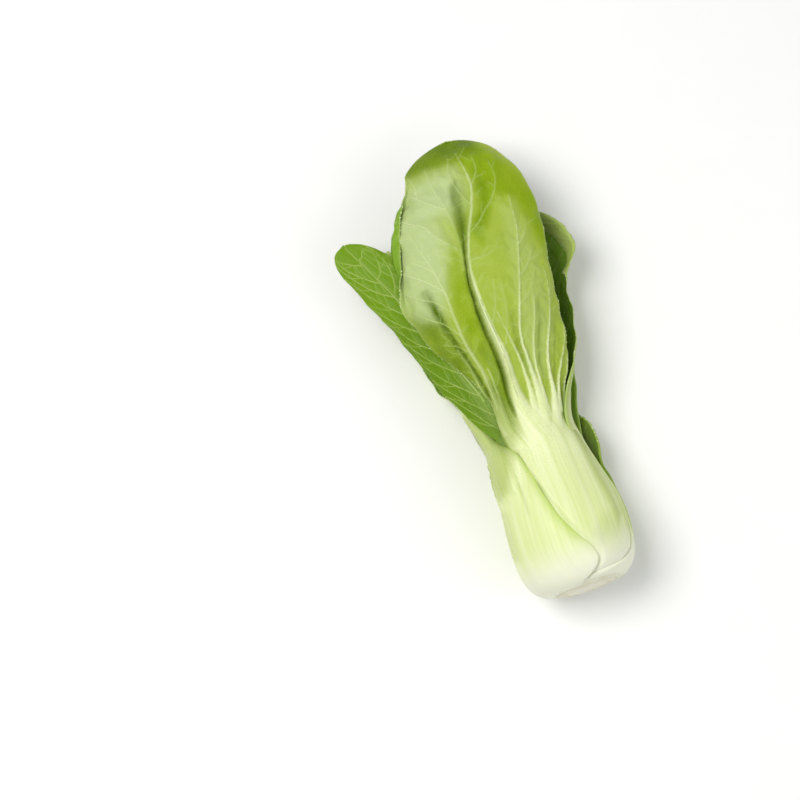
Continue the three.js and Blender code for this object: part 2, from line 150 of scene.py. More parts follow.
def sorted_tree(points: Array) -> KDTree:
    """Sort points into a tree that finds the nearest ones.

    Args:
        points: One row of x, y, z for each point.

    Returns:
        The tree, which knows each point by its row.
    """
    tree = KDTree(len(points))
    for k, point in enumerate(points):
        tree.insert(point, k)
    tree.balance()
    return tree


def placed(name: str, data: ID) -> Object:
    """Put a mesh, light or camera in the scene under a name.

    Args:
        name: The object's name.
        data: What it shows.

    Returns:
        The object.
    """
    made = bpy.data.objects.new(name, data)
    bpy.context.scene.collection.objects.link(made)
    return made


def mark(mesh: Mesh, name: str, values: Array) -> None:
    """Store one number for each point of a mesh."""
    mesh.attributes.new(name, "FLOAT", "POINT").data.foreach_set("value", values.astype(np.float32))


class Tone(Enum):
    """Which leaf tissue a leaf is made of, from the outside of the head to its heart."""

    OUTER = "outer_leaf_tissue"
    MIDDLE = "middle_leaf_tissue"
    INNER = "inner_leaf_tissue"
    HEART = "heart_leaf_tissue"


class Slot(Enum):
    """The record's material slots."""

    STEM = "stem_flesh"
    OUTER = "outer_leaf"
    INNER = "inner_leaf"
    HEART = "heart_leaf"


SLOT_OF_TONE = {
    Tone.OUTER: Slot.OUTER, Tone.MIDDLE: Slot.INNER, Tone.INNER: Slot.INNER, Tone.HEART: Slot.HEART,
}


class Tint(Enum):
    """The tints that lie in patches on the back of a blade: waxy bloom with a painted sheen, fresh green,
    and painted shade.
    """

    FROST = "frost"
    FRESH = "fresh"
    DEEP = "deep"


@dataclass(frozen=True)
class Curl:
    """A left margin that rolls over along part of a leaf.

    The rows give a height, the degrees turned there and the width of margin that takes part: positive
    degrees turn towards the head's axis, and negative ones turn out over the back of the leaf.
    """

    rows: tuple
    roll: float = 2.0


@dataclass(frozen=True)
class Crease:
    """A furrow pressed into the outer face, in rows seen from above: x, y, half width and depth."""

    rows: tuple
    # How strongly painted shade darkens the furrow.
    shade: float = 0.8


@dataclass(frozen=True)
class Patch:
    """A soft-edged area of a blade, outlined as seen from above, that has its own tint."""

    tint: Tint
    outline: tuple
    soft: float = 3.0
    strength: float = 1.0


@dataclass(frozen=True)
class Veins:
    """How a blade's net of veins is laid out.

    Girth is the side veins' radius where they start. The shares give it for the other veins, and the
    ends are the radii where the veins, strands, forks and twigs end.
    """

    first: float = 66.0
    pitch: float = 11.0
    rise: float = 20.0
    girth: float = 0.22
    links: int = 4
    seed: int = 1
    midrib_share: float = 1.7
    fork_share: float = 0.62
    twig_share: float = 0.42
    link_share: float = 0.36
    end: float = 0.1
    strand_end: float = 0.11
    fork_end: float = 0.08
    twig_end: float = 0.06


@dataclass(frozen=True)
class LeafForm:
    """One leaf: where it grows from, how it wraps the bulb, and the stations of its blade.

    Wraps are rows of height and degrees of the bulb covered on the left and right. Lean rows are a
    height and how far the petiole stands outside the bulb. Blade rows are y, x, z, roll, left half,
    right half, lift at the midrib, bend of the left half and of the right half. Hug is how much more
    than the bulb the left and right sides of the petiole bend at the neck. A rib is a raised strand
    that runs up into the blade, in rows seen from above: x, y, half width, height and paleness.
    """

    name: str
    tone: Tone
    azimuth: float
    base: float
    neck: float
    wall: float
    tip: float
    blade: tuple
    wraps: tuple = ()
    lean: tuple = ()
    hug: tuple = (1.0, 1.0)
    rows: int = 150
    half_columns: int = 34
    pucker: float = 0.35
    ruffle: float = 0.8
    upper_share: float = 1.0
    midrib_drawn: bool = False
    stalk_share: float = 1.0
    # Shares of waxy bloom with painted sheen, of fresh green and of painted shade over the whole leaf.
    tints: tuple = (0.3, 0.35, 0.0)
    veins: Veins = field(default_factory=Veins)
    curl: Curl | None = None
    ribs: tuple = ()
    creases: tuple = ()
    strands: tuple = ()
    patches: tuple = ()


SIDE_LEAF = LeafForm(
    name="small_side_leaf", tone=Tone.OUTER, azimuth=122, base=0.4, neck=38, wall=2.2, tip=11,
    wraps=((0, 20, 20), (15, 24, 24), (31, 23, 23), (40, 22, 22)),
    lean=((0, 0.9), (30, 1.2), (38, 2.6)),
    blade=(
        (44, 19, -11, 118, 9.5, 9.5, 0, 24, 24),
        (52, 20.2, -10.8, 116, 9.5, 9.5, 4, 24, 24),
        (60, 20.4, -10.8, 114, 8, 8, 6, 24, 24),
        (66, 20.2, -10.6, 112, 6, 6, 6, 20, 20),
    ),
    rows=90, half_columns=22, ruffle=0.3, upper_share=0.6, tints=(0.05, 0.3, 0.5), stalk_share=0.6,
    veins=Veins(first=40, pitch=6, rise=8, girth=0.14, links=2, seed=3),
)
LEFT_LEAF = LeafForm(
    name="outer_leaf_left", tone=Tone.OUTER, azimuth=-70, base=0.6, neck=56, wall=5.0, tip=22,
    wraps=((0, 60, 56), (1.5, 62, 66), (3, 63, 76), (5, 64, 83), (8, 64, 86), (15, 66, 77), (22, 66, 66),
        (31, 64, 57.5), (43, 62, 47), (56, 60, 32)),
    lean=((0, 0), (38, 0.3), (45, 1.8), (56, 3.6)), hug=(1.0, 2.1),
    blade=(
        (62, -18.8, 2, -70, 16, 6, 0, 50, 24),
        (70, -20.4, -0.5, -72, 15, 6, 0, 45, 26),
        (78, -22.2, -3, -78, 15, 7, 2, 44, 30),
        (90, -24, -5, -82, 16, 10, 6, 45, 40),
        (110, -27, -7, -90, 18, 15, 8, 50, 50),
        (130, -29.5, -8.5, -95, 16, 14, 8, 48, 45),
        (150, -31, -10.5, -98, 13, 12, 6, 34, 30),
    ),
    rows=240, half_columns=50, veins=Veins(seed=5),
    ribs=(
        ((-19, 34, 1.6, 0, 1), (-18.4, 42, 1.2, 0.7, 1), (-17.4, 50, 0.8, 0.8, 1),
         (-16.9, 57, 0.5, 0.2, 0.8)),
        ((-15.6, 34, 1.4, 0, 1), (-15.3, 42, 1, 0.7, 1), (-14.8, 50, 0.7, 0.8, 1),
         (-14.8, 57, 0.4, 0.1, 0.7)),
        ((-12, 34, 1.2, 0, 1), (-12.2, 42, 0.8, 0.6, 1), (-12.6, 50, 0.6, 0.5, 1),
         (-13.2, 56, 0.4, 0.1, 0.7)),
    ),
    creases=(
        Crease(((-17.2, 34, 0.6, 0.2), (-16.9, 42, 0.7, 0.5), (-16.2, 50, 0.6, 0.5), (-15.8, 56, 0.5, 0.2)),
            shade=0.9),
        Crease(((-13.8, 34, 0.6, 0.2), (-13.7, 42, 0.6, 0.4), (-13.7, 50, 0.5, 0.4), (-13.9, 55, 0.4, 0.2)),
            shade=0.9),
    ),
    # Painted shade on the petiole's neck and along its left side.
    patches=(
        Patch(Tint.DEEP, ((-22, 40), (-17, 44), (-12, 56), (-14, 76), (-26, 76), (-23, 56)), 2.5, 0.7),
        Patch(Tint.DEEP, ((-25, 18), (-21.5, 18), (-20.5, 36), (-24, 40)), 1.5, 0.35),
    ),
)
BACK_RIGHT_LEAF = LeafForm(
    name="back_leaf_right", tone=Tone.OUTER, azimuth=152.5, base=0.6, neck=56, wall=5.0, tip=20,
    wraps=((0, 60, 60), (15, 68, 68), (31, 66, 66), (45, 60, 60), (56, 56, 56)),
    lean=((0, 0), (56, 1)),
    blade=(
        (64, 7.8, -15.8, 160, 16, 13.5, 0, 45, 45),
        (80, 9, -18.4, 168, 17, 14.5, 4, 30, 30),
        (100, 10.5, -21.4, 176, 17, 16, 4, 20, 20),
        (120, 11, -22.8, 180, 18, 16, 3, 14, 14),
        (140, 10, -23.2, 182, 18, 15, 2, 12, 12),
        (158, 8, -23.2, 183, 15, 13, 0, 10, 10),
    ),
    rows=190, half_columns=44, veins=Veins(seed=8),
)
FRONT_LEAF = LeafForm(
    name="outer_leaf_front", tone=Tone.OUTER, azimuth=9, base=2.0, neck=56, wall=5.2, tip=9,
    wraps=((2, 30, 8), (3, 34, 20), (4.4, 38, 34), (6.5, 44, 46), (9, 50, 53), (13, 56, 57), (24, 62, 60),
        (31, 62, 62), (43, 62, 60), (56, 58, 58)),
    blade=(
        (62, 0.6, 15.9, 6, 15.5, 16.5, 0, 56, 58),
        (74, -3.3, 17, 3, 10.5, 24.5, 4, 34, 50),
        (88, -3.2, 18.8, 0, 17, 27.5, 12, 42, 46),
        (102, -4.5, 20.4, -1, 27, 31, 20, 56, 48),
        (112, -5.5, 21.1, -2, 30.5, 32.5, 24, 62, 48),
        (127, -5, 21.4, -2, 32.8, 33.5, 24, 64, 46),
        (139.5, -1.4, 20.8, -1, 35, 31.5, 22, 62, 42),
        (149, 2.2, 19.9, 0, 34.6, 28, 18, 56, 38),
        (158, 5.2, 18.8, 1, 30, 22.8, 14, 46, 32),
        (167, 5.4, 16.8, 2, 24.2, 18.6, 10, 36, 26),
        (174, 4.6, 13.2, 3, 21.4, 14.8, 6, 28, 20),
        (180.8, 3.4, 8, 3, 18.5, 11.5, 4, 20, 16),
    ),
    rows=340, half_columns=70, pucker=0.8, ruffle=0.35, tints=(0.12, 0.34, 0.0), midrib_drawn=True,
    veins=Veins(first=84, pitch=9.5, rise=24, girth=0.27, links=6, seed=11),
    curl=Curl(rows=((112, 0, 3), (124, -120, 3.2), (134, -200, 3.6), (150, -200, 3.4), (158, -160, 2.6),
        (166, -80, 1.9), (173, -30, 1.5), (178, 0, 1.5)), roll=0.85),
    ribs=(
        ((-1, 58, 3.6, 0.8, 1), (-2.2, 68, 3.2, 1.4, 1), (-3.3, 76.5, 2.2, 1.9, 0.9),
         (-3.3, 85, 1.6, 2, 0.67), (-3.2, 92.9, 1.35, 1.9, 1), (-4.7, 104, 1, 1.6, 0.95),
         (-5.4, 116, 0.8, 1.2, 0.8), (-4.8, 129, 0.62, 0.9, 0.6), (-1.4, 140.2, 0.5, 0.7, 0.5),
         (3.4, 151, 0.44, 0.55, 0.45), (5.7, 158.3, 0.4, 0.45, 0.4), (4.5, 171.8, 0.3, 0.2, 0.2)),
        ((-9, 58, 3, 0.5, 1), (-10.6, 66, 2.2, 0.9, 0.8), (-11.6, 74, 1.3, 1, 0.5),
         (-12, 82, 0.9, 0.9, 0.38), (-12.8, 90, 0.75, 0.8, 0.34), (-15.4, 100, 0.6, 0.7, 0.3),
         (-16.6, 110, 0.5, 0.5, 0.26), (-17.1, 122, 0.45, 0.35, 0.22)),
        ((-9.6, 64, 1.2, 0.5, 0.7), (-9.9, 72, 0.7, 0.6, 0.45), (-10, 80, 0.5, 0.5, 0.3),
         (-10.6, 90, 0.4, 0.3, 0.2)),
        ((-11.6, 64, 1.2, 0.5, 0.7), (-13.4, 72, 0.7, 0.6, 0.45), (-14.6, 80, 0.55, 0.5, 0.3),
         (-16.6, 90, 0.45, 0.4, 0.25), (-19.6, 100, 0.4, 0.3, 0.2)),
        ((2.5, 60, 3, 0.6, 1), (4.4, 70, 1.68, 0.9, 1), (5, 77, 1.2, 0.95, 0.95), (4.8, 86, 0.62, 1, 0.85),
         (4.9, 98, 0.46, 0.86, 0.72), (7.8, 108.8, 0.37, 0.69, 0.6), (10, 115.3, 0.32, 0.57, 0.5),
         (14, 128, 0.27, 0.46, 0.45), (16.4, 137, 0.26, 0.4, 0.38), (17.8, 150, 0.26, 0.29, 0.25)),
        ((1, 66, 1.8, 0.5, 1), (2.2, 77, 0.88, 0.6, 0.9), (1.9, 91, 0.4, 0.57, 0.65),
         (0.6, 100, 0.31, 0.46, 0.45), (-0.6, 109, 0.26, 0.29, 0.3)),
        ((5.5, 66, 1.7, 0.5, 1), (6.8, 76, 0.76, 0.55, 0.9), (7, 86, 0.37, 0.57, 0.7),
         (9.3, 96, 0.3, 0.46, 0.5), (12.3, 104, 0.26, 0.34, 0.4), (14.6, 113, 0.26, 0.23, 0.3)),
        ((7, 60, 2.8, 0.5, 1), (9.6, 68, 2, 0.7, 1), (10.9, 75, 1.08, 0.75, 0.95),
         (11.4, 82, 0.56, 0.75, 0.85), (13.2, 90.6, 0.42, 0.63, 0.7), (17.8, 102, 0.31, 0.52, 0.55),
         (20.4, 110, 0.26, 0.4, 0.42), (21.8, 120, 0.26, 0.29, 0.3)),
        ((11.5, 67, 1.5, 0.4, 1), (13.4, 75, 0.76, 0.5, 0.9), (16.3, 82.6, 0.37, 0.52, 0.7),
         (20, 90, 0.28, 0.4, 0.5), (22.2, 97, 0.26, 0.29, 0.3)),
        ((13, 66, 1.1, 0.3, 1), (15.4, 73, 0.56, 0.4, 0.8), (18.2, 79.5, 0.29, 0.34, 0.6),
         (20.6, 86, 0.26, 0.29, 0.4)),
    ),
    creases=(
        Crease(((-6.4, 69.5, 0.7, 0.6), (-6.6, 76, 0.9, 1.6), (-5.9, 84, 1, 2.4), (-5.5, 93, 1, 2.7),
            (-6.4, 104, 0.9, 2.7), (-7, 116, 0.8, 2.4), (-6.2, 126, 0.75, 2.1), (-4.6, 134, 0.75, 1.8),
            (-2.6, 142, 0.9, 1.4), (-0.8, 149, 1.3, 0.8), (-0.9, 157, 1.8, 0.3))),
        Crease(((-13.4, 76, 0.9, 0.6), (-14.6, 84, 1.1, 1.4), (-17.2, 94, 1.3, 1.8), (-20.2, 104, 1.6, 1.6),
            (-22.6, 115, 1.6, 1.2), (-24.8, 124.6, 2, 0.5)), shade=0.9),
        Crease(((-8.6, 70, 1.2, 0.4), (-9.4, 80, 2, 0.8), (-10.6, 92, 2.6, 0.9), (-12.2, 106, 3, 0.6)),
            shade=0.0),
        Crease(((3.4, 79, 0.5, 0.3), (3.2, 88, 0.8, 0.6), (3.2, 98, 1, 0.6), (4.6, 108, 1.2, 0.4)),
            shade=0.5),
        Crease(((8.8, 80, 0.6, 0.3), (9.8, 88, 0.9, 0.6), (13.2, 98, 1.1, 0.6), (16.8, 110, 1.3, 0.3)),
            shade=0.4),
        Crease(((13.4, 79, 0.5, 0.3), (15.6, 87, 0.8, 0.5), (19.2, 97, 1, 0.3)), shade=0.4),
    ),
    strands=(
        ((-17.1, 121), (-18.5, 130.5), (-21.7, 143.1), (-22.5, 147)),
        ((-17.1, 122.3), (-22, 127.5), (-29.8, 133.9)), ((-18.5, 130.5), (-21.8, 134), (-25.4, 136.8)),
        ((-16.4, 104.5), (-20.5, 110), (-25, 113.5), (-30, 118)),
        ((-17, 114), (-21.6, 119.4), (-26.4, 122.4), (-31, 126.4)),
        ((-14.2, 97), (-19, 101), (-23.5, 103.5)),
        ((-7.7, 128), (-5.9, 138), (-5.7, 143.6), (-6.6, 152), (-8.8, 162.9), (-8.9, 169)),
        ((-6.6, 152), (-10.6, 155), (-15.3, 159.3), (-19.2, 163.4)),
        ((-7.3, 136.3), (-13, 142.4), (-19.2, 149.6), (-22.4, 148.6)),
        ((-19.2, 149.6), (-22.6, 152.4), (-25.6, 155.6)), ((-15.3, 159.3), (-14.6, 164.5), (-15.8, 168.5)),
        ((-0.4, 141), (3.6, 143.8), (7.4, 147.5), (12.1, 152), (15.5, 159.1), (15.2, 165)),
        ((-3.3, 131), (2, 130.9), (6, 132.4), (8.8, 135.6)), ((14.6, 130.9), (18.2, 134), (20.8, 138.5)),
        ((11.4, 119.7), (15.6, 122.6), (19.4, 128)), ((8.5, 109.5), (13.4, 113), (17.4, 119.5)),
        ((18.5, 104), (21.8, 113), (23.4, 122)), ((-3.2, 92.9), (1.2, 103), (3.4, 112.5), (4, 120)),
        ((-4.7, 104), (-0.2, 113), (1.6, 121)), ((5.7, 158.3), (9.6, 163.5), (9.8, 169)),
        ((3.4, 151), (0.2, 158), (-0.8, 165), (1, 171)),
    ),
    # Bloom-and-sheen patches paint a sheen where the light glances off the waxy left half and under the
    # tip; painted-shade patches darken the grooves, the tip that turns from the light, and the shaded heel
    # and right side of the petiole.
    patches=(
        Patch(Tint.FROST, ((-32, 114), (-34, 124), (-34, 134), (-32, 147), (-27, 157), (-18, 166.5),
            (-6, 168), (3, 167), (3.6, 159), (0, 152), (-6, 147), (-9, 148), (-9.5, 138), (-12, 127),
            (-17, 119), (-22, 112), (-27, 110)), 7.5, 0.92),
        Patch(Tint.FROST, ((-25, 150), (-18, 165.5), (-6, 167.4), (2, 166), (1, 158), (-6, 152),
            (-14, 146)), 4.5, 0.95),
        Patch(Tint.FROST, ((2, 84), (6, 106), (10, 132), (13, 148), (19, 146), (22, 126), (20.5, 106),
            (17, 90), (10, 80), (5, 80)), 4.5, 0.35),
        Patch(Tint.DEEP, ((-12, 70), (-16, 98), (-22, 113), (-33, 118), (-31, 104), (-24, 88), (-16, 70)),
            5.5, 0.52),
        Patch(Tint.DEEP, ((-6.4, 63), (-7.4, 84), (-12.5, 86), (-17, 76), (-15, 60), (-10, 58)),
            2.4, 0.55),
        Patch(Tint.FRESH, ((-24, 164), (-17, 169), (-6, 169.6), (3, 168.6), (7, 160), (5, 150), (-2, 141),
            (2, 134), (8, 143), (13, 152), (20, 148), (25, 122), (32, 124), (31, 142), (26, 158), (17, 172),
            (8, 182), (-10, 182), (-22, 174)), 4, 1),
        Patch(Tint.FRESH, ((-6.6, 71), (-11, 84), (-15, 100), (-17, 118), (-15, 128), (-9, 140),
            (-6.5, 132), (-6.8, 110), (-5.8, 90)), 4.6, 0.88),
        Patch(Tint.DEEP, ((-2.6, 160), (0.6, 162), (1.2, 156), (0, 149), (-2.4, 142), (-5, 134),
            (-6.4, 130), (-6, 138), (-4.6, 148)), 1.3, 0.6),
        Patch(Tint.DEEP, ((-6.6, 76), (-8.2, 90), (-8.8, 108), (-8.6, 122), (-6.4, 132), (-6.2, 112),
            (-5.4, 90)), 1.2, 0.5),
        Patch(Tint.DEEP, ((-30, 156), (-17, 168), (-6, 170), (4, 169.5), (13, 172), (16, 184), (-30, 184)),
            3.6, 0.60),
        Patch(Tint.DEEP, ((0, 142), (6, 150), (8, 166), (12, 158), (8, 146), (3, 138)), 2.5, 0.3),
        Patch(Tint.DEEP, ((-12.6, 74), (-15.8, 92), (-18.8, 104), (-24, 124), (-26, 123), (-20.8, 104),
            (-17.4, 92), (-14, 74)), 1, 0.5),
        Patch(Tint.FRESH, ((-12, 72), (-17, 98), (-24, 112), (-32, 116), (-31, 106), (-24, 90), (-16, 72)),
            5.5, 0.85),
        Patch(Tint.DEEP, ((-6.6, 70), (-9.6, 84), (-12, 98), (-8, 102), (-6, 90)), 1.4, 0.4),
        Patch(Tint.DEEP, ((6, 10), (15, 11), (18, 20), (14, 26), (7, 20)), 3.5, 0.35),
        Patch(Tint.DEEP, ((16, 18), (20, 24), (18, 42), (15, 60), (12.5, 60), (15, 40), (17, 28)),
            2, 0.65),
    ),
)
BACK_LEFT_LEAF = LeafForm(
    name="back_leaf_left", tone=Tone.OUTER, azimuth=-122.5, base=1.4, neck=56, wall=5.0, tip=20,
    wraps=((0, 50, 56), (15, 60, 62), (31, 60, 60), (45, 56, 56), (56, 54, 54)),
    lean=((0, 0), (45, 0.6), (56, 1.5)),
    blade=(
        (64, -14, -12, -130, 10, 16, 0, 45, 45),
        (80, -15.8, -16.8, -145, 8.5, 16, 4, 34, 34),
        (100, -18, -21.2, -165, 11, 15, 4, 24, 24),
        (120, -19, -23, -178, 17, 14, 3, 14, 14),
        (140, -19, -23.2, -180, 16, 14, 2, 12, 12),
        (156, -18, -23.2, -180, 13, 12, 0, 10, 10),
    ),
    rows=190, half_columns=44, veins=Veins(seed=13),
)
RIGHT_LEAF = LeafForm(
    name="outer_leaf_right", tone=Tone.OUTER, azimuth=100, base=1.0, neck=56, wall=4.8, tip=18,
    wraps=((0, 98, 50), (4, 98, 52), (8, 82, 56), (15, 62, 58), (31, 60, 58), (45, 56, 56), (56, 52, 52)),
    blade=(
        (62, 15.2, -3.4, 104, 15, 15, 0, 50, 50),
        (76, 17.6, -6, 116, 15, 17, 4, 36, 45),
        (92, 20.8, -8.8, 127, 15, 18, 8, 30, 40),
        (104, 22.6, -10.6, 131, 14.5, 19, 10, 28, 40),
        (112, 23.4, -11.4, 133, 13.5, 19, 10, 28, 40),
        (118, 23.8, -11.9, 134, 18.5, 19, 10, 28, 38),
        (124, 24, -12.4, 134, 29, 18.5, 10, 28, 38),
        (131, 23.4, -13, 135, 31, 17.5, 9, 28, 36),
        (140, 21.5, -13.6, 136, 29, 16, 8, 28, 32),
        (149, 19, -14, 136, 22, 14, 6, 28, 28),
    ),
    rows=245, half_columns=48, pucker=0.5, ruffle=0.2, veins=Veins(pitch=10, rise=22, seed=17),
    curl=Curl(rows=((113, 0, 1), (117, 70, 2.8), (120.5, 165, 5.4), (124, 170, 7.2), (132, 170, 9.6),
        (140, 160, 9.6), (145, 110, 5.5), (149, 50, 2.5))),
)
MIDDLE_LEAF = LeafForm(
    name="middle_leaf_left", tone=Tone.MIDDLE, azimuth=-37.5, base=5, neck=56, wall=4.4, tip=11,
    wraps=((5, 40, 40), (16, 60, 60), (31, 60, 60), (45, 56, 56), (56, 50, 50)),
    blade=(
        (62, -8.6, 8.8, -8, 7.2, 11, 0, 6, 44),
        (70, -12.2, 10.4, -12, 8.6, 13, 0, 16, 38),
        (84, -17, 11.6, -20, 12, 16, 4, 28, 36),
        (98, -22.3, 11.2, -25, 12.5, 18, 10, 32, 36),
        (114, -28.8, 9.8, -26, 11.5, 18, 12, 30, 34),
        (128, -34.8, 8.6, -24, 11, 15, 12, 28, 32),
        (141, -41, 7.8, -20, 10, 11, 10, 24, 28),
        (153.5, -47.2, 7, -18, 8, 6, 6, 20, 20),
    ),
    rows=245, half_columns=44, pucker=0.6, ruffle=0.5, veins=Veins(first=60, pitch=9, rise=22, seed=19),
    tints=(0.08, 0.5, 0.0), stalk_share=0.12,
    # Painted shade where this leaf lies in the front leaf's shadow.
    patches=(Patch(Tint.DEEP, ((-6, 60), (-12, 58), (-34, 90), (-40, 116), (-30, 116), (-18, 88)),
        4, 0.3),),
)
INNER_BACK_LEAF = LeafForm(
    name="inner_leaf_back", tone=Tone.INNER, azimuth=-175, base=6, neck=56, wall=4.2, tip=22,
    wraps=((6, 40, 40), (16, 60, 60), (31, 60, 60), (45, 56, 56), (56, 50, 50)),
    blade=(
        (64, -1.5, -11.5, -176, 14, 14, 0, 45, 45),
        (84, -2.5, -13, -177, 17, 17, 6, 36, 36),
        (106, -3.5, -14, -178, 20, 20, 10, 34, 34),
        (128, -3.5, -14, -180, 19, 19, 10, 30, 30),
        (150, -2, -12.5, -182, 14, 14, 6, 24, 24),
    ),
    rows=160, half_columns=34, pucker=0.6, veins=Veins(seed=23),
)
INNER_RIGHT_LEAF = LeafForm(
    name="inner_leaf_right", tone=Tone.INNER, azimuth=47.5, base=6, neck=56, wall=4.0, tip=22,
    wraps=((6, 40, 40), (16, 58, 58), (31, 58, 58), (45, 54, 54), (56, 50, 50)),
    blade=(
        (64, 8.6, 8.4, 46, 13, 13, 0, 45, 45),
        (80, 10.5, 9.5, 44, 15, 15, 6, 40, 40),
        (98, 12.5, 10.5, 40, 17, 16, 10, 38, 38),
        (114, 13.5, 10.5, 38, 15, 14, 10, 34, 34),
        (132, 14, 9.5, 36, 11, 11, 8, 28, 28),
    ),
    rows=150, half_columns=32, pucker=0.6, veins=Veins(seed=29),
)
INNER_LEFT_LEAF = LeafForm(
    name="inner_leaf_left", tone=Tone.INNER, azimuth=-90, base=7, neck=56, wall=3.8, tip=20,
    wraps=((7, 40, 40), (16, 56, 56), (31, 56, 56), (45, 52, 52), (56, 48, 48)),
    blade=(
        (64, -11, 0, -92, 12, 12, 0, 45, 45),
        (84, -14.5, -1, -98, 15, 15, 8, 44, 44),
        (106, -17.5, -2.5, -104, 17, 17, 10, 40, 40),
        (124, -19, -4, -106, 14, 14, 8, 34, 34),
        (140, -19.5, -5.5, -106, 11, 11, 6, 28, 28),
    ),
    rows=150, half_columns=32, pucker=0.6, veins=Veins(seed=31),
)
HEART_RIGHT_LEAF = LeafForm(
    name="heart_leaf_right", tone=Tone.HEART, azimuth=132.5, base=8, neck=56, wall=3.4, tip=18,
    wraps=((8, 40, 40), (20, 56, 56), (56, 50, 50)),
    blade=(
        (60, 5.2, -4.8, 132, 9, 9, 0, 45, 45),
        (80, 6.5, -6, 134, 11, 11, 8, 45, 45),
        (98, 7.5, -6.8, 136, 12, 12, 12, 45, 45),
        (116, 8, -7, 138, 9, 9, 10, 34, 34),
    ),
    rows=115, half_columns=26, pucker=0.5, veins=Veins(pitch=8, rise=14, girth=0.24, seed=37),
)
HEART_FRONT_LEAF = LeafForm(
    name="heart_leaf_front", tone=Tone.HEART, azimuth=-5, base=10, neck=50, wall=2.6, tip=16,
    blade=(
        (10, 0, 3, -5, 2.5, 2.5, 0, 45, 45),
        (22, -0.2, 5.4, -5, 4.6, 4.6, 0, 50, 50),
        (38, -0.3, 6, -5, 5.4, 5.4, 0, 50, 50),
        (56, -0.5, 6, -5, 7, 7, 0, 45, 45),
        (74, -1, 6.2, -6, 10, 10, 8, 45, 45),
        (90, -1.8, 6.8, -8, 10, 10, 12, 45, 45),
        (106, -2.5, 6.6, -10, 7, 7, 10, 34, 34),
    ),
    rows=105, half_columns=24, pucker=0.5, veins=Veins(first=58, pitch=7, rise=12, girth=0.22, seed=41),
)
HEART_LEFT_LEAF = LeafForm(
    name="heart_leaf_left", tone=Tone.HEART, azimuth=-142.5, base=10.5, neck=46, wall=2.0, tip=14,
    blade=(
        (10.5, -1.2, -1.4, -142, 1.8, 1.8, 0, 45, 45),
        (22, -2, -2.4, -142, 3.2, 3.2, 0, 50, 50),
        (38, -2.4, -3, -142, 4, 4, 0, 50, 50),
        (54, -2.8, -3.6, -142, 5.5, 5.5, 0, 45, 45),
        (68, -3.2, -4, -142, 7.5, 7.5, 8, 45, 45),
        (80, -4.2, -4.6, -142, 7.5, 7.5, 10, 45, 45),
        (92, -5, -4.8, -142, 6, 6, 8, 34, 34),
    ),
    rows=100, half_columns=22, pucker=0.4, veins=Veins(first=54, pitch=7, rise=10, girth=0.2, seed=43),
)

# The leaves from the outside of the bulb inwards: each nests inside those before it.
LEAVES = (
    SIDE_LEAF, LEFT_LEAF, BACK_RIGHT_LEAF, FRONT_LEAF, BACK_LEFT_LEAF, RIGHT_LEAF, MIDDLE_LEAF,
    INNER_BACK_LEAF, INNER_RIGHT_LEAF, INNER_LEFT_LEAF, HEART_RIGHT_LEAF, HEART_FRONT_LEAF, HEART_LEFT_LEAF,
)


# -------------------- finishes

SKIN_RELIEF = 0.0003


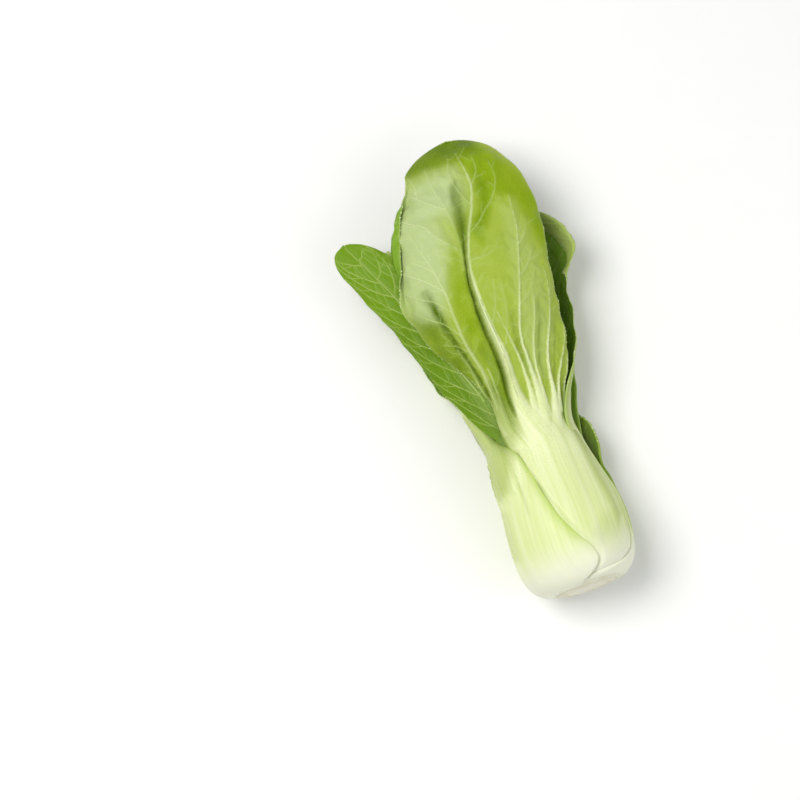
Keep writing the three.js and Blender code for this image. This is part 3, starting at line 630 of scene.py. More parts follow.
class Nodes:
    """A short way to build a node tree and join its sockets."""

    def __init__(self, tree: NodeTree) -> None:
        """Hold the tree that the nodes go into."""
        self.tree = tree

    def add(self, kind: str, **settings: object) -> Node:
        """Add a node of a kind and set its properties.

        Args:
            kind: The node's type.
            settings: Its properties by name.

        Returns:
            The node.
        """
        node = self.tree.nodes.new(kind)
        for name, value in settings.items():
            setattr(node, name, value)
        return node

    def join(self, source: object, target: NodeSocket) -> None:
        """Link a socket to an input, or set the input to a plain value.

        Args:
            source: An output socket, a number or a colour.
            target: The input that takes it.
        """
        if isinstance(source, NodeSocket):
            self.tree.links.new(source, target)
        elif isinstance(source, tuple) and len(source) == 3 and target.type == "RGBA":
            target.default_value = (*source, 1.0)
        else:
            target.default_value = source

    def fill(self, node: Node, **sources: object) -> Node:
        """Join or set inputs of a node.

        Args:
            node: The node to fill.
            sources: What goes into each input, named with _ for each space.

        Returns:
            The same node.
        """
        for name, source in sources.items():
            self.join(source, node.inputs[name.replace("_", " ")])
        return node

    def chain(self, *stops: tuple) -> None:
        """Link nodes in a row: each stop is an input's name, a node and its output's name."""
        for (_, node, leaving), (entering, after, _) in zip(stops, stops[1:]):
            self.join(node.outputs[leaving], after.inputs[entering])

    def math(self, operation: str, *values: object, clamp: bool = False) -> NodeSocket:
        """Add a Math node.

        Args:
            operation: What it works out.
            values: Its inputs in order.
            clamp: Whether the result is held between 0 and 1.

        Returns:
            The result.
        """
        node = self.add("ShaderNodeMath", operation=operation, use_clamp=clamp)
        for value, target in zip(values, node.inputs):
            self.join(value, target)
        return node.outputs[0]

    def times(self, first: object, second: object) -> NodeSocket:
        """Multiply two values."""
        return self.math("MULTIPLY", first, second)

    def plus(self, first: object, second: object, clamp: bool = False) -> NodeSocket:
        """Add two values."""
        return self.math("ADD", first, second, clamp=clamp)

    def blend(self, share: object, first: object, second: object) -> NodeSocket:
        """Mix two colours by a share.

        Args:
            share: The second colour's share.
            first: The colour at share 0.
            second: The colour at share 1.

        Returns:
            The mixed colour.
        """
        node = self.add("ShaderNodeMix", data_type="RGBA")
        self.join(share, node.inputs["Factor"])
        self.join(first, node.inputs[6])
        self.join(second, node.inputs[7])
        return node.outputs[2]

    def span(self, value: object, low: float, high: float, to_low: float = 0.0,
             to_high: float = 1.0) -> NodeSocket:
        """Map a value from one range to another, held inside it.

        Args:
            value: The value to map.
            low: Where the first range starts.
            high: Where it ends.
            to_low: The result at low.
            to_high: The result at high.

        Returns:
            The mapped value.
        """
        node = self.add("ShaderNodeMapRange", clamp=True)
        for given, target in zip((value, low, high, to_low, to_high), node.inputs):
            self.join(given, target)
        return node.outputs[0]

    def noise(self, vector: object, scale: object, detail: float = 3.0,
              rough: float = 0.5) -> NodeSocket:
        """Add a noise texture and return its value."""
        node = self.add("ShaderNodeTexNoise")
        return self.fill(node, Vector=vector, Scale=scale, Detail=detail, Roughness=rough).outputs["Fac"]

    def stretch(self, vector: object, scale: tuple) -> NodeSocket:
        """Scale a vector axis by axis and return it."""
        return self.fill(self.add("ShaderNodeMapping"), Vector=vector, Scale=scale).outputs["Vector"]

    def attribute(self, name: str) -> NodeSocket:
        """Return a mesh attribute's value."""
        return self.add("ShaderNodeAttribute", attribute_name=name).outputs["Fac"]

    def grain(self, group: NodeTree, vector: object, mottle_size: float) -> Node:
        """Place the shared grain group on a vector."""
        node = self.add("ShaderNodeGroup", node_tree=group)
        return self.fill(node, Vector=vector, Mottle_Size=mottle_size)

    def raise_skin(self, shader: Node, height: object, strength: float) -> None:
        """Give a shader a fine relief from a height.

        Args:
            shader: The shader to dress.
            height: The height that shows.
            strength: How strongly.
        """
        relief = self.add("ShaderNodeBump")
        self.fill(relief, Strength=strength, Distance=SKIN_RELIEF, Height=height)
        self.join(relief.outputs["Normal"], shader.inputs["Normal"])

    def soften(self, shader: Node, weight: float, radius: tuple, scale: float = 0.0008) -> None:
        """Let light sink into a shader's tissue and scatter."""
        self.fill(shader, Subsurface_Weight=weight, Subsurface_Radius=radius, Subsurface_Scale=scale)


def surface(name: str) -> tuple[Material, Nodes, Node]:
    """Make a material with a node tree.

    Args:
        name: The material's name.

    Returns:
        The material, the builder of its tree and its shader.
    """
    made = bpy.data.materials.new(name)
    made.use_nodes = True
    return made, Nodes(made.node_tree), made.node_tree.nodes["Principled BSDF"]


def tissue_grain_group() -> NodeTree:
    """Build the grain that all plant tissue shares.

    Returns:
        A shader node group with lengthways fibre, mottle, fine cells and a net of the finest veins.
    """
    tree = bpy.data.node_groups.new("tissue_grain", "ShaderNodeTree")
    tree.interface.new_socket("Vector", in_out="INPUT", socket_type="NodeSocketVector")
    for name, value in (("Mottle Size", 0.006), ("Net Size", 0.0021)):
        tree.interface.new_socket(name, in_out="INPUT", socket_type="NodeSocketFloat").default_value = value
    for name in ("Fibre", "Mottle", "Cells", "Net"):
        tree.interface.new_socket(name, in_out="OUTPUT", socket_type="NodeSocketFloat")
    nodes = Nodes(tree)
    entry = nodes.add("NodeGroupInput")
    place = entry.outputs["Vector"]
    fine = nodes.noise(nodes.stretch(place, (1100, 26, 1)), 1.0, 4.0, 0.6)
    broad = nodes.noise(nodes.stretch(place, (300, 9, 1)), 1.0, 2.0)
    wander = nodes.fill(nodes.add("ShaderNodeTexNoise"), Vector=place, Scale=420.0)
    bent = nodes.add("ShaderNodeVectorMath", operation="MULTIPLY_ADD")
    for source, target in zip((wander.outputs["Color"], (0.0011, 0.0011, 0.0), place), bent.inputs):
        nodes.join(source, target)
    net = nodes.add("ShaderNodeTexVoronoi", feature="DISTANCE_TO_EDGE")
    nodes.fill(net, Vector=bent.outputs["Vector"],
               Scale=nodes.math("DIVIDE", 1.0, entry.outputs["Net Size"]))
    nodes.fill(
        nodes.add("NodeGroupOutput"),
        Fibre=nodes.plus(nodes.times(fine, 0.45), nodes.times(broad, 0.55)),
        Mottle=nodes.noise(place, nodes.math("DIVIDE", 1.0, entry.outputs["Mottle Size"]), 4.0),
        Cells=nodes.noise(place, 1500.0, 3.0, 0.6),
        Net=nodes.span(net.outputs["Distance"], 0.0, 0.09, 1.0, 0.0),
    )
    return tree


@dataclass(frozen=True)
class LeafFinish:
    """The look of one kind of leaf tissue: petiole, the back of the blade in its tints, and its face."""

    tone: Tone
    under: Colour
    frost: Colour
    fresh: Colour
    deep: Colour
    upper: Colour
    upper_deep: Colour
    petiole: Colour = (0.80, 0.85, 0.54)
    petiole_shade: Colour = (0.66, 0.75, 0.32)
    petiole_foot: Colour = (0.82, 0.83, 0.66)
    petiole_thin: Colour = (0.46, 0.60, 0.12)
    petiole_painted_shade: Colour = (0.31, 0.42, 0.04)
    vein: Colour = (0.50, 0.62, 0.24)
    speck: Colour = (0.44, 0.58, 0.03)
    roughness: float = 0.40
    glow: float = 0.18
    shine: float = 0.13

    def material(self, grain: NodeTree) -> Material:
        """Make the tissue's material.

        Args:
            grain: The shared grain group.

        Returns:
            A material that reads the leaf's UV map and its painted masks.
        """
        made, nodes, shader = surface(self.tone.value)
        flat = nodes.add("ShaderNodeUVMap", uv_map="leaf").outputs["UV"]
        group = nodes.grain(grain, flat, 0.012)
        fibre, mottle, cells, net = (group.outputs[name] for name in ("Fibre", "Mottle", "Cells", "Net"))
        pale = nodes.attribute("pale")
        uneven = nodes.times(nodes.span(fibre, 0.3, 0.7, -0.3, 0.3),
                             nodes.times(pale, nodes.math("SUBTRACT", 1.25, pale)))
        stalk_share = nodes.plus(pale, uneven, clamp=True)
        blade, stalk = self.blade(nodes, mottle, cells, net), self.stalk(nodes, fibre, cells)
        rough = nodes.span(mottle, 0.3, 0.7, self.roughness - 0.06, self.roughness + 0.1)
        nodes.fill(shader, Base_Color=nodes.blend(stalk_share, blade, stalk),
                   Roughness=nodes.math("SUBTRACT", rough, nodes.times(pale, 0.1)))
        on_blade = nodes.math("SUBTRACT", 1.0, pale)
        relief = nodes.plus(nodes.times(cells, 0.35), nodes.times(fibre, 0.8))
        nodes.raise_skin(shader, nodes.plus(relief, nodes.times(net, nodes.times(on_blade, 0.4))), 0.35)
        nodes.soften(shader, self.glow, (0.8, 1.0, 0.3))
        shader.inputs["Specular IOR Level"].default_value = self.shine
        return made

    def blade(self, nodes: Nodes, mottle: object, cells: object, net: object) -> NodeSocket:
        """Mix the blade's colour: tints on its back with their painted sheen and painted shade, its face,
        then its fine veins and specks.

        Args:
            nodes: The material's tree.
            mottle: The grain's mottle.
            cells: The grain's fine cells.
            net: The grain's net of veins.

        Returns:
            The blade's colour.
        """
        drift = nodes.span(mottle, 0.3, 0.7, -0.22, 0.22)
        blade = self.under
        for tint, colour in ((Tint.FROST, self.frost), (Tint.FRESH, self.fresh), (Tint.DEEP, self.deep)):
            share = nodes.attribute(tint.value)
            blade = nodes.blend(nodes.plus(share, nodes.times(drift, share), clamp=True), blade, colour)
        face = nodes.blend(nodes.span(mottle, 0.32, 0.68), self.upper, self.upper_deep)
        blade = nodes.blend(nodes.attribute("upper"), blade, face)
        for share, strength, colour in (
            (net, 0.09, self.speck),
            (nodes.attribute("veined"), 0.4, self.vein),
            (nodes.attribute("rim"), 0.3, self.vein),
            (nodes.span(cells, 0.48, 0.68), 0.14, self.speck),
        ):
            blade = nodes.blend(nodes.times(share, strength), blade, colour)
        return blade

    def stalk(self, nodes: Nodes, fibre: object, cells: object) -> NodeSocket:
        """Mix the petiole's colour: its fibres, thin margins, white foot and painted shade.

        Args:
            nodes: The material's tree.
            fibre: The grain's lengthways fibre.
            cells: The grain's fine cells.

        Returns:
            The petiole's colour.
        """
        speckle = nodes.times(nodes.span(cells, 0.42, 0.62), nodes.attribute("neck"))
        streak = nodes.times(nodes.span(fibre, 0.38, 0.60), 0.6)
        streak = nodes.plus(streak, nodes.times(speckle, 0.55), clamp=True)
        foot = nodes.attribute("foot")
        # Painted shade from the painted-shade tint darkens the petiole, less towards its white foot.
        painted_shade_share = nodes.times(nodes.attribute("deep"), nodes.span(foot, 0.0, 1.0, 0.85, 0.2))
        stalk = nodes.blend(streak, self.petiole_shade, self.petiole)
        for share, colour in (
            (nodes.times(nodes.attribute("thin"), 0.75), self.petiole_thin),
            (foot, self.petiole_foot),
            (painted_shade_share, self.petiole_painted_shade),
        ):
            stalk = nodes.blend(share, stalk, colour)
        return stalk


@dataclass(frozen=True)
class StrandFinish:
    """The look of thin strands and beads: dark where they are green, light where they are pale; on veins
    painted sheen lightens them and painted shade darkens them.
    """

    name: str
    dark: Colour
    light: Colour
    follows_light: bool = False
    roughness: float = 0.4

    def material(self, grain: NodeTree) -> Material:
        """Make the strand's material.

        Args:
            grain: The shared grain group.

        Returns:
            A material that varies softly in object space, or along the strand with its light attribute.
        """
        made, nodes, shader = surface(self.name)
        group = nodes.grain(grain, nodes.add("ShaderNodeTexCoord").outputs["Object"], 0.009)
        share = nodes.span(group.outputs["Mottle"], 0.35, 0.65)
        if self.follows_light:
            share = nodes.plus(nodes.attribute("light"), nodes.span(share, 0, 1, -0.12, 0.12), clamp=True)
        rough = nodes.span(group.outputs["Mottle"], 0.3, 0.7, self.roughness - 0.05, self.roughness + 0.08)
        nodes.fill(shader, Base_Color=nodes.blend(share, self.dark, self.light), Roughness=rough)
        nodes.soften(shader, 0.25, (0.8, 1.0, 0.4))
        return made


@dataclass(frozen=True)
class StemFinish:
    """The look of the stem: pale all over, with a faint ring of bundles round soft pith at the cut."""

    pith: Colour = (0.80, 0.78, 0.64)
    ring: Colour = (0.72, 0.67, 0.46)
    bark: Colour = (0.78, 0.77, 0.60)
    scar: Colour = (0.42, 0.42, 0.20)
    rim: Colour = (0.46, 0.46, 0.24)

    def material(self, grain: NodeTree) -> Material:
        """Make the stem's material.

        Args:
            grain: The shared grain group.

        Returns:
            A material that reads the stem's ring, face, scar and rim attributes.
        """
        made, nodes, shader = surface("stem_tissue")
        group = nodes.grain(grain, nodes.add("ShaderNodeTexCoord").outputs["Object"], 0.004)
        blotch = nodes.times(nodes.span(group.outputs["Mottle"], 0.35, 0.65), 0.25)
        face = nodes.blend(nodes.attribute("ring"), self.pith, self.ring)
        face = nodes.blend(blotch, face, self.ring)
        side = nodes.blend(blotch, self.bark, self.scar)
        side = nodes.blend(nodes.times(nodes.attribute("scar"), 0.6), side, self.scar)
        whole = nodes.blend(nodes.attribute("face"), side, face)
        nodes.fill(shader, Base_Color=nodes.blend(nodes.attribute("rim"), whole, self.rim),
                   Roughness=nodes.span(group.outputs["Mottle"], 0.3, 0.7, 0.42, 0.62))
        nodes.raise_skin(shader, nodes.plus(group.outputs["Cells"], group.outputs["Mottle"]), 0.3)
        nodes.soften(shader, 0.3, (1.0, 0.9, 0.6), 0.002)
        return made


LEAF_FINISHES = (
    LeafFinish(
        tone=Tone.OUTER, under=(0.36, 0.46, 0.035), frost=(0.66, 0.74, 0.54), fresh=(0.228, 0.35, 0.004),
        deep=(0.07, 0.135, 0.0), upper=(0.20, 0.36, 0.03), upper_deep=(0.12, 0.25, 0.01),
    ),
    LeafFinish(
        tone=Tone.MIDDLE, under=(0.155, 0.290, 0.004), frost=(0.31, 0.43, 0.06), fresh=(0.12, 0.25, 0.004),
        deep=(0.05, 0.12, 0.002), upper=(0.08, 0.17, 0.01), upper_deep=(0.04, 0.11, 0.004),
        vein=(0.30, 0.44, 0.08), speck=(0.34, 0.48, 0.03),
    ),
    LeafFinish(
        tone=Tone.INNER, under=(0.26, 0.41, 0.05), frost=(0.42, 0.55, 0.16), fresh=(0.19, 0.35, 0.015),
        deep=(0.09, 0.18, 0.012), upper=(0.13, 0.25, 0.025), upper_deep=(0.07, 0.17, 0.01),
    ),
    LeafFinish(
        tone=Tone.HEART, under=(0.40, 0.54, 0.12), frost=(0.54, 0.66, 0.26), fresh=(0.32, 0.48, 0.05),
        deep=(0.16, 0.28, 0.03), upper=(0.26, 0.42, 0.05), upper_deep=(0.17, 0.33, 0.03),
        petiole=(0.76, 0.81, 0.52), petiole_shade=(0.66, 0.74, 0.40),
    ),
)
VEIN_FINISH = StrandFinish("vein_strand", (0.34, 0.48, 0.08), (0.68, 0.77, 0.42), follows_light=True)
BEAD_FINISH = StrandFinish("margin_bead", (0.42, 0.56, 0.16), (0.76, 0.84, 0.54), roughness=0.3)
BUNDLE_FINISH = StrandFinish("stem_bundle", (0.48, 0.42, 0.22), (0.60, 0.54, 0.34), roughness=0.5)


# -------------------- leaf surface


@dataclass(frozen=True)
class Relief:
    """Heights and widths of the fine relief that every leaf shares."""

    vein_height: float = 0.26
    vein_width: float = 0.5
    vein_mark: float = 0.4
    pucker_width: float = 2.4
    long_ruffle: float = 3.4
    short_ruffle: float = 1.9
    swell_height: float = 0.35
    swell_along: float = 9.0
    swell_across: float = 6.0
    fibre_height: float = 0.15
    fibre_pitches: tuple = (1.05, 0.55, 2.3)


RELIEF = Relief()


@dataclass(frozen=True)
class Bulb:
    """The nested petioles: how far in each one lies at an azimuth and height.

    Radii are the bulb's at the heights. Heel angles place the stations where a petiole turns out of
    the stem, and step is the spacing of those above. Margin is a petiole's thickness at its edges.
    """

    heights: tuple = (0, 1, 3, 6, 10, 16, 24, 31, 38, 45, 52, 60, 70)
    radii: tuple = (11.5, 14.5, 18.0, 20.6, 22.2, 23.2, 23.4, 22.7, 20.9, 19.2, 17.5, 16.2, 15.2)
    stem_radius: float = 11.0
    heel_height: float = 11.0
    heel_angles: tuple = (0, 22, 44, 66, 88)
    step: float = 7.0
    nest_gap: float = 0.3
    neck_thinning: float = 0.35
    margin: float = 1.1

    def radius(self, y: Array) -> Array:
        """Give the bulb's outer radius at heights."""
        y = np.asarray(y, float)
        return follow(self.heights, np.array(self.radii)[:, None], y.ravel())[:, 0].reshape(y.shape)

    def wall(self, leaf: LeafForm, u: Array, y: Array) -> Array:
        """Give a petiole's thickness at shares of its half width and at heights."""
        middle = leaf.wall * (1 - self.neck_thinning * smooth(20, leaf.neck, y))
        return self.margin + (middle - self.margin) * (1 - np.minimum(u * u, 1))

    def cover(self, index: int, points: Array) -> Array:
        """Find how far in points of a leaf lie, to leave room for the leaves outside it.

        Args:
            index: The leaf's place in LEAVES.
            points: Points of its sheet before it is nested.

        Returns:
            The depth at each point.
        """
        depth = np.zeros(points.shape[:-1])
        if not LEAVES[index].wraps:
            return depth
        theta = np.degrees(np.arctan2(points[..., 0], points[..., 2]))
        y = points[..., 1]
        for outer in LEAVES[:index]:
            wraps = table(outer.wraps, y)
            turn = (theta - outer.azimuth + 180) % 360 - 180
            u = np.abs(turn) / np.where(turn < 0, wraps[..., 0], wraps[..., 1])
            share = (1 - smooth(1.0, 1.1, u)) * smooth(outer.base - 1, outer.base + 6, y)
            share *= 1 - smooth(outer.neck - 6, outer.neck + 6, y)
            depth += (self.wall(outer, u, y) + self.nest_gap) * share
        own_neck = LEAVES[index].neck
        return depth * (1 - smooth(own_neck - 6, own_neck + 6, y))


class Sheet:
    """A leaf's surfaces as grids of points, from its stations to its veins and puckers."""

    def __init__(self, leaf: LeafForm, index: int, bulb: Bulb) -> None:
        """Lay out the outer face, work the relief into it and set the inner face behind it.

        Args:
            leaf: The leaf's form.
            index: Its place in LEAVES.
            bulb: The nested petioles.
        """
        self.leaf = leaf
        self.bulb = bulb
        self.random = np.random.default_rng(leaf.veins.seed)
        self.lay_out(index)
        self.facing = self.normals()
        self.raised = np.zeros(self.outer.shape[:2])
        self.pressed = np.zeros(self.outer.shape[:2])
        self.pale = 1 - smooth(leaf.neck - 2, leaf.neck + 34, self.y + 18 * self.share**2)
        self.lay_patches()
        self.raise_ribs()
        self.vein_routes = VeinNet(self).routes
        self.work_relief()
        self.set_faces()

    def stations(self) -> Array:
        """Give the stations of the midrib: the heel, the petiole round the bulb, then the blade's rows.

        Returns:
            One row for each station, laid out as the leaf's blade rows are.
        """
        leaf, bulb = self.leaf, self.bulb
        if not leaf.wraps:
            return np.array(leaf.blade, float)
        heel_top = leaf.base + bulb.heel_height
        turns = np.radians(bulb.heel_angles)
        heights = [leaf.base + bulb.heel_height * (1 - math.cos(turn)) for turn in turns]
        while heights[-1] + bulb.step < leaf.neck - 3:
            heights.append(heights[-1] + bulb.step)
        heights.append(leaf.neck)
        y = np.array(heights)
        t = np.minimum(1, (y - leaf.base) / bulb.heel_height)
        start = bulb.stem_radius + 0.4
        full = float(bulb.radius(heel_top))
        heel = start + (full - start) * np.sqrt(np.maximum(0, 1 - (1 - t) ** 2))
        outside = bulb.radius(y) + (table(leaf.lean, y)[:, 0] if leaf.lean else 0)
        r = np.where(t < 1, np.minimum(outside, heel), outside)
        wraps = table(leaf.wraps, y)
        hugging = smooth(leaf.neck - 20, leaf.neck, y)
        bends = [wraps[:, k] * (1 + (leaf.hug[k] - 1) * hugging) for k in (0, 1)]
        angle = math.radians(leaf.azimuth)
        columns = (y, r * math.sin(angle), r * math.cos(angle), np.full_like(y, leaf.azimuth),
                   r * np.radians(wraps[:, 0]), r * np.radians(wraps[:, 1]), 0 * y, *bends)
        return np.vstack([np.column_stack(columns), np.array(leaf.blade, float)])

    def lay_out(self, index: int) -> None:
        """Sweep the section along the midrib and nest it in the bulb.

        Args:
            index: The leaf's place in LEAVES.
        """
        leaf = self.leaf
        stations = self.stations()
        centres = stations[:, [1, 0, 2]]
        lengths = travelled(centres)
        cap_start = lengths[-1] - leaf.tip
        cap_rows = int(leaf.rows * TIP_ROWS_SHARE)
        body = np.linspace(0, cap_start, leaf.rows - cap_rows, endpoint=False)
        cap = cap_start + leaf.tip * np.sin(np.linspace(0, math.pi / 2, cap_rows))
        self.lengths = np.concatenate([body, cap])
        rows = follow(lengths, stations, self.lengths)
        centre = rows[:, [1, 0, 2]]
        step = 0.5
        ahead = follow(lengths, stations, self.lengths + step)[:, [1, 0, 2]]
        behind = follow(lengths, stations, self.lengths - step)[:, [1, 0, 2]]
        heading = unit((ahead - behind) * np.array([SIDEWAYS_SHARE, 1.0, 1.0]))
        neck_length = float(np.interp(leaf.neck, stations[:, 0], lengths))
        blade_share = smooth(neck_length, neck_length + 20, self.lengths)[:, None]
        along = unit(np.array([0, 1.0, 0]) * (1 - blade_share) + heading * blade_share)
        roll = np.radians(rows[:, 3])
        out = np.column_stack([np.sin(roll), 0 * roll, np.cos(roll)])
        normal = unit(out - (out * along).sum(1, keepdims=True) * along)
        side = np.cross(along, normal)
        cap_share = np.clip((self.lengths - cap_start) / leaf.tip, 0, 1)
        rounding = np.maximum((1 - cap_share**TIP_FULLNESS) ** (1 / TIP_FULLNESS), 0.012)
        self.y = rows[:, 0][:, None]
        half = leaf.half_columns
        steps = np.concatenate([np.linspace(0, LIP_START, half - len(LIPS) + 1), LIPS])
        self.share = np.concatenate([-steps[:0:-1], steps])[None, :]
        self.widths = (rows[:, 4] * rounding, rows[:, 5] * rounding)
        points = np.zeros((leaf.rows, 2 * half + 1, 3))
        points[:, half] = centre
        for sign, width, bend, curl in (
            (-1, self.widths[0], rows[:, 7], leaf.curl),
            (1, self.widths[1], rows[:, 8], None),
        ):
            place = centre.copy()
            for k in range(half):
                low, high = steps[k], steps[k + 1]
                for part in range(SECTION_STEPS):
                    u = low + (high - low) * (part + 0.5) / SECTION_STEPS
                    turn = np.radians(-rows[:, 6] + (bend + rows[:, 6]) * u)
                    if curl:
                        most, reach = table(curl.rows, rows[:, 0]).T
                        share = np.clip((reach - width * (1 - u)) / curl.roll, 0, 1)
                        turn = turn + np.radians(most) * share
                    stride = (width * (high - low) / SECTION_STEPS)[:, None]
                    place = place + sign * np.cos(turn)[:, None] * side * stride
                    place = place - np.sin(turn)[:, None] * normal * stride
                points[:, half + sign * (k + 1)] = place
        depth = self.bulb.cover(index, points)
        radius = np.maximum(np.hypot(points[..., 0], points[..., 2]), 1e-6)
        shrink = np.maximum(radius - depth, 2.5) / radius if leaf.wraps else np.ones_like(radius)
        points[..., 0] *= shrink
        points[..., 2] *= shrink
        self.outer = points
        left, right = (width[:, None] for width in self.widths)
        self.across = np.where(self.share < 0, left, right) * self.share
        self.half_width = 0.5 * (self.widths[0] + self.widths[1])[:, None]

    def normals(self) -> Array:
        """Give the outward normals of the outer face.

        Returns:
            A unit vector for each grid point.
        """
        along = np.gradient(self.outer, axis=0)
        across = np.gradient(self.outer, axis=1)
        return unit(np.cross(across, along))

    def seen_from_above(self) -> Array:
        """Look down on the outer face from near the head's foot.

        Returns:
            The places x and y of each grid point in that view.
        """
        tilt = math.radians(LOOK_DOWN_TILT)
        x, y, z = np.moveaxis(self.outer, -1, 0)
        return np.stack([x, y * math.cos(tilt) + z * math.sin(tilt)], axis=-1)

    @cached_property
    def plan_tree(self) -> KDTree:
        """Sort the outer face's points as seen from above, before any relief is in them.

        Returns:
            A tree that finds the grid points nearest to a place.
        """
        plan = self.seen_from_above().reshape(-1, 2)
        return sorted_tree(np.pad(plan, ((0, 0), (0, 1))))

    def drop_route(self, route: tuple, step: float = 0.7) -> Array:
        """Lay a route seen from above onto the grid.

        Args:
            route: Points x, y as seen from above.
            step: Spacing of the points laid down.

        Returns:
            Row and column places on the grid, with fractions.
        """
        points = np.array(route, float)
        lengths = travelled(points)
        dense = follow(lengths, points, np.arange(0, lengths[-1] + step * 0.5, step))
        columns = self.outer.shape[1]
        found = []
        for x, y in dense:
            near = self.plan_tree.find_n((x, y, 0), 4)
            weights = np.array([1 / (distance + 0.05) for _, _, distance in near])
            places = np.array([divmod(k, columns) for _, k, _ in near], float)
            found.append((places * weights[:, None]).sum(0) / weights.sum())
        return np.array(found)

    def read(self, grid: Array, places: Array) -> Array:
        """Read a grid of values between its points.

        Args:
            grid: Values for each row and column.
            places: Row and column places with fractions.

        Returns:
            One value for each place.
        """
        i = np.clip(places[:, 0], 0, grid.shape[0] - 1.001)
        j = np.clip(places[:, 1], 0, grid.shape[1] - 1.001)
        low_i, low_j = i.astype(int), j.astype(int)
        u = (i - low_i).reshape(-1, *([1] * (grid.ndim - 2)))
        v = (j - low_j).reshape(-1, *([1] * (grid.ndim - 2)))
        first = grid[low_i, low_j] * (1 - v) + grid[low_i, low_j + 1] * v
        second = grid[low_i + 1, low_j] * (1 - v) + grid[low_i + 1, low_j + 1] * v
        return first * (1 - u) + second * u

    def nearest(self, routes: list, values: list | None = None) -> tuple[Array, Array]:
        """Find each grid point's nearest point on some routes.

        Args:
            routes: Lists of row and column places.
            values: For each route, a row of values at each of its places.

        Returns:
            The distance in millimetres, and the values at the nearest places.
        """
        samples = np.concatenate([self.read(self.outer, route) for route in routes])
        given = np.concatenate(values) if values else np.zeros((len(samples), 1))
        tree = sorted_tree(samples)
        flat = self.outer.reshape(-1, 3)
        distance = np.empty(len(flat))
        found = np.empty(len(flat), int)
        for k, point in enumerate(flat):
            _, found[k], distance[k] = tree.find(point)
        shape = self.outer.shape[:2]
        return distance.reshape(shape), given[found].reshape(*shape, -1)

    def near_rows(self, rows: tuple) -> tuple[Array, Array]:
        """Find each grid point's nearest point on a route that carries values.

        Args:
            rows: The route's points x, y as seen from above, each with its values.

        Returns:
            The distance in millimetres, and the values, which fade past the route's ends.
        """
        rows = np.array(rows, float)
        places = self.drop_route(rows[:, :2])
        at = np.linspace(0, 1, len(places))
        steps = travelled(rows[:, :2])
        values = np.column_stack([np.interp(at, steps / steps[-1], column) for column in rows[:, 2:].T])
        distance, found = self.nearest([places], [values])
        ends = self.read(self.outer, places[[0, -1]])
        along = unit(ends[1] - ends[0])
        before = ((self.outer - ends[0]) * along).sum(-1)
        after = ((self.outer - ends[1]) * along).sum(-1)
        reach = np.where(before < 0, -before, np.where(after > 0, after, 0))
        return distance, found * (1 - smooth(0, 3, reach))[..., None] + 1e-6

    def raise_ribs(self) -> None:
        """Raise the strands of petiole that run up the blade, and press its creases in, with painted shade
        along them.
        """
        leaf = self.leaf
        if leaf.midrib_drawn:
            self.pale *= 1 - smooth(leaf.neck + 3, leaf.neck + 21, self.y)
        else:
            last = leaf.blade[-1][0]
            fade = 1 - smooth(leaf.neck + 10, last - 8, self.y)
            wide = 0.5 + leaf.wall * 0.6 * fade**1.5
            rib = bump(self.across, wide) * smooth(leaf.neck - 4, leaf.neck + 22, self.y)
            self.raised += rib * (0.2 + 0.26 * leaf.wall * fade)
            line = 1 - smooth(0.7 * wide, 1.4 * wide, np.abs(self.across))
            below_neck = 1 - smooth(leaf.neck - 6, leaf.neck + 6, self.y)
            self.pale *= leaf.stalk_share + (1 - leaf.stalk_share) * below_neck
            self.pale = np.maximum(self.pale, line * (0.3 + 0.7 * fade) * leaf.stalk_share)
        for rib in leaf.ribs:
            distance, found = self.near_rows(rib)
            width, height, pale = np.moveaxis(found, -1, 0)
            self.raised += height * bump(distance, width)
            self.pale = np.maximum(self.pale, pale * (1 - smooth(0.75, 1.5, distance / width)))
        for crease in leaf.creases:
            distance, found = self.near_rows(crease.rows)
            width, depth = np.moveaxis(found, -1, 0)
            self.pressed -= depth * bump(distance, width)
            # Painted shade: the furrow is darkened in colour as well as pressed in.
            shade = crease.shade * np.minimum(depth, 1) * bump(distance, 1.2 * width)
            self.tints[Tint.DEEP] = np.maximum(self.tints[Tint.DEEP], shade)

    def lay_patches(self) -> None:
        """Spread the leaf's tints, then the patches that have their own, painted sheen and painted shade
        among them.
        """
        shape = self.outer.shape[:2]
        self.tints = {tint: np.full(shape, share) for tint, share in zip(Tint, self.leaf.tints)}
        plan = self.seen_from_above().reshape(-1, 2)
        for patch in self.leaf.patches:
            outline = np.array(patch.outline, float)
            ends = np.roll(outline, -1, axis=0)
            side = ends - outline
            offset = plan[:, None, :] - outline[None]
            share = np.clip((offset * side).sum(-1) / (side**2).sum(-1), 0, 1)
            distance = np.linalg.norm(offset - share[..., None] * side, axis=-1).min(1)
            rising = (outline[:, 1] > plan[:, 1:]) != (ends[:, 1] > plan[:, 1:])
            rise = np.where(side[:, 1] == 0, 1e-9, side[:, 1])
            cross = outline[:, 0] + (plan[:, 1:] - outline[:, 1]) * side[:, 0] / rise
            inside = (rising & (plan[:, :1] < cross)).sum(1) % 2 == 1
            depth = np.where(inside, distance, -distance).reshape(shape)
            value = patch.strength * smooth(-patch.soft, patch.soft, depth)
            self.tints[patch.tint] = np.maximum(self.tints[patch.tint], value)
        if self.leaf.patches:
            self.tints[Tint.FROST] = self.tints[Tint.FROST] * (1 - 0.8 * self.tints[Tint.FRESH])

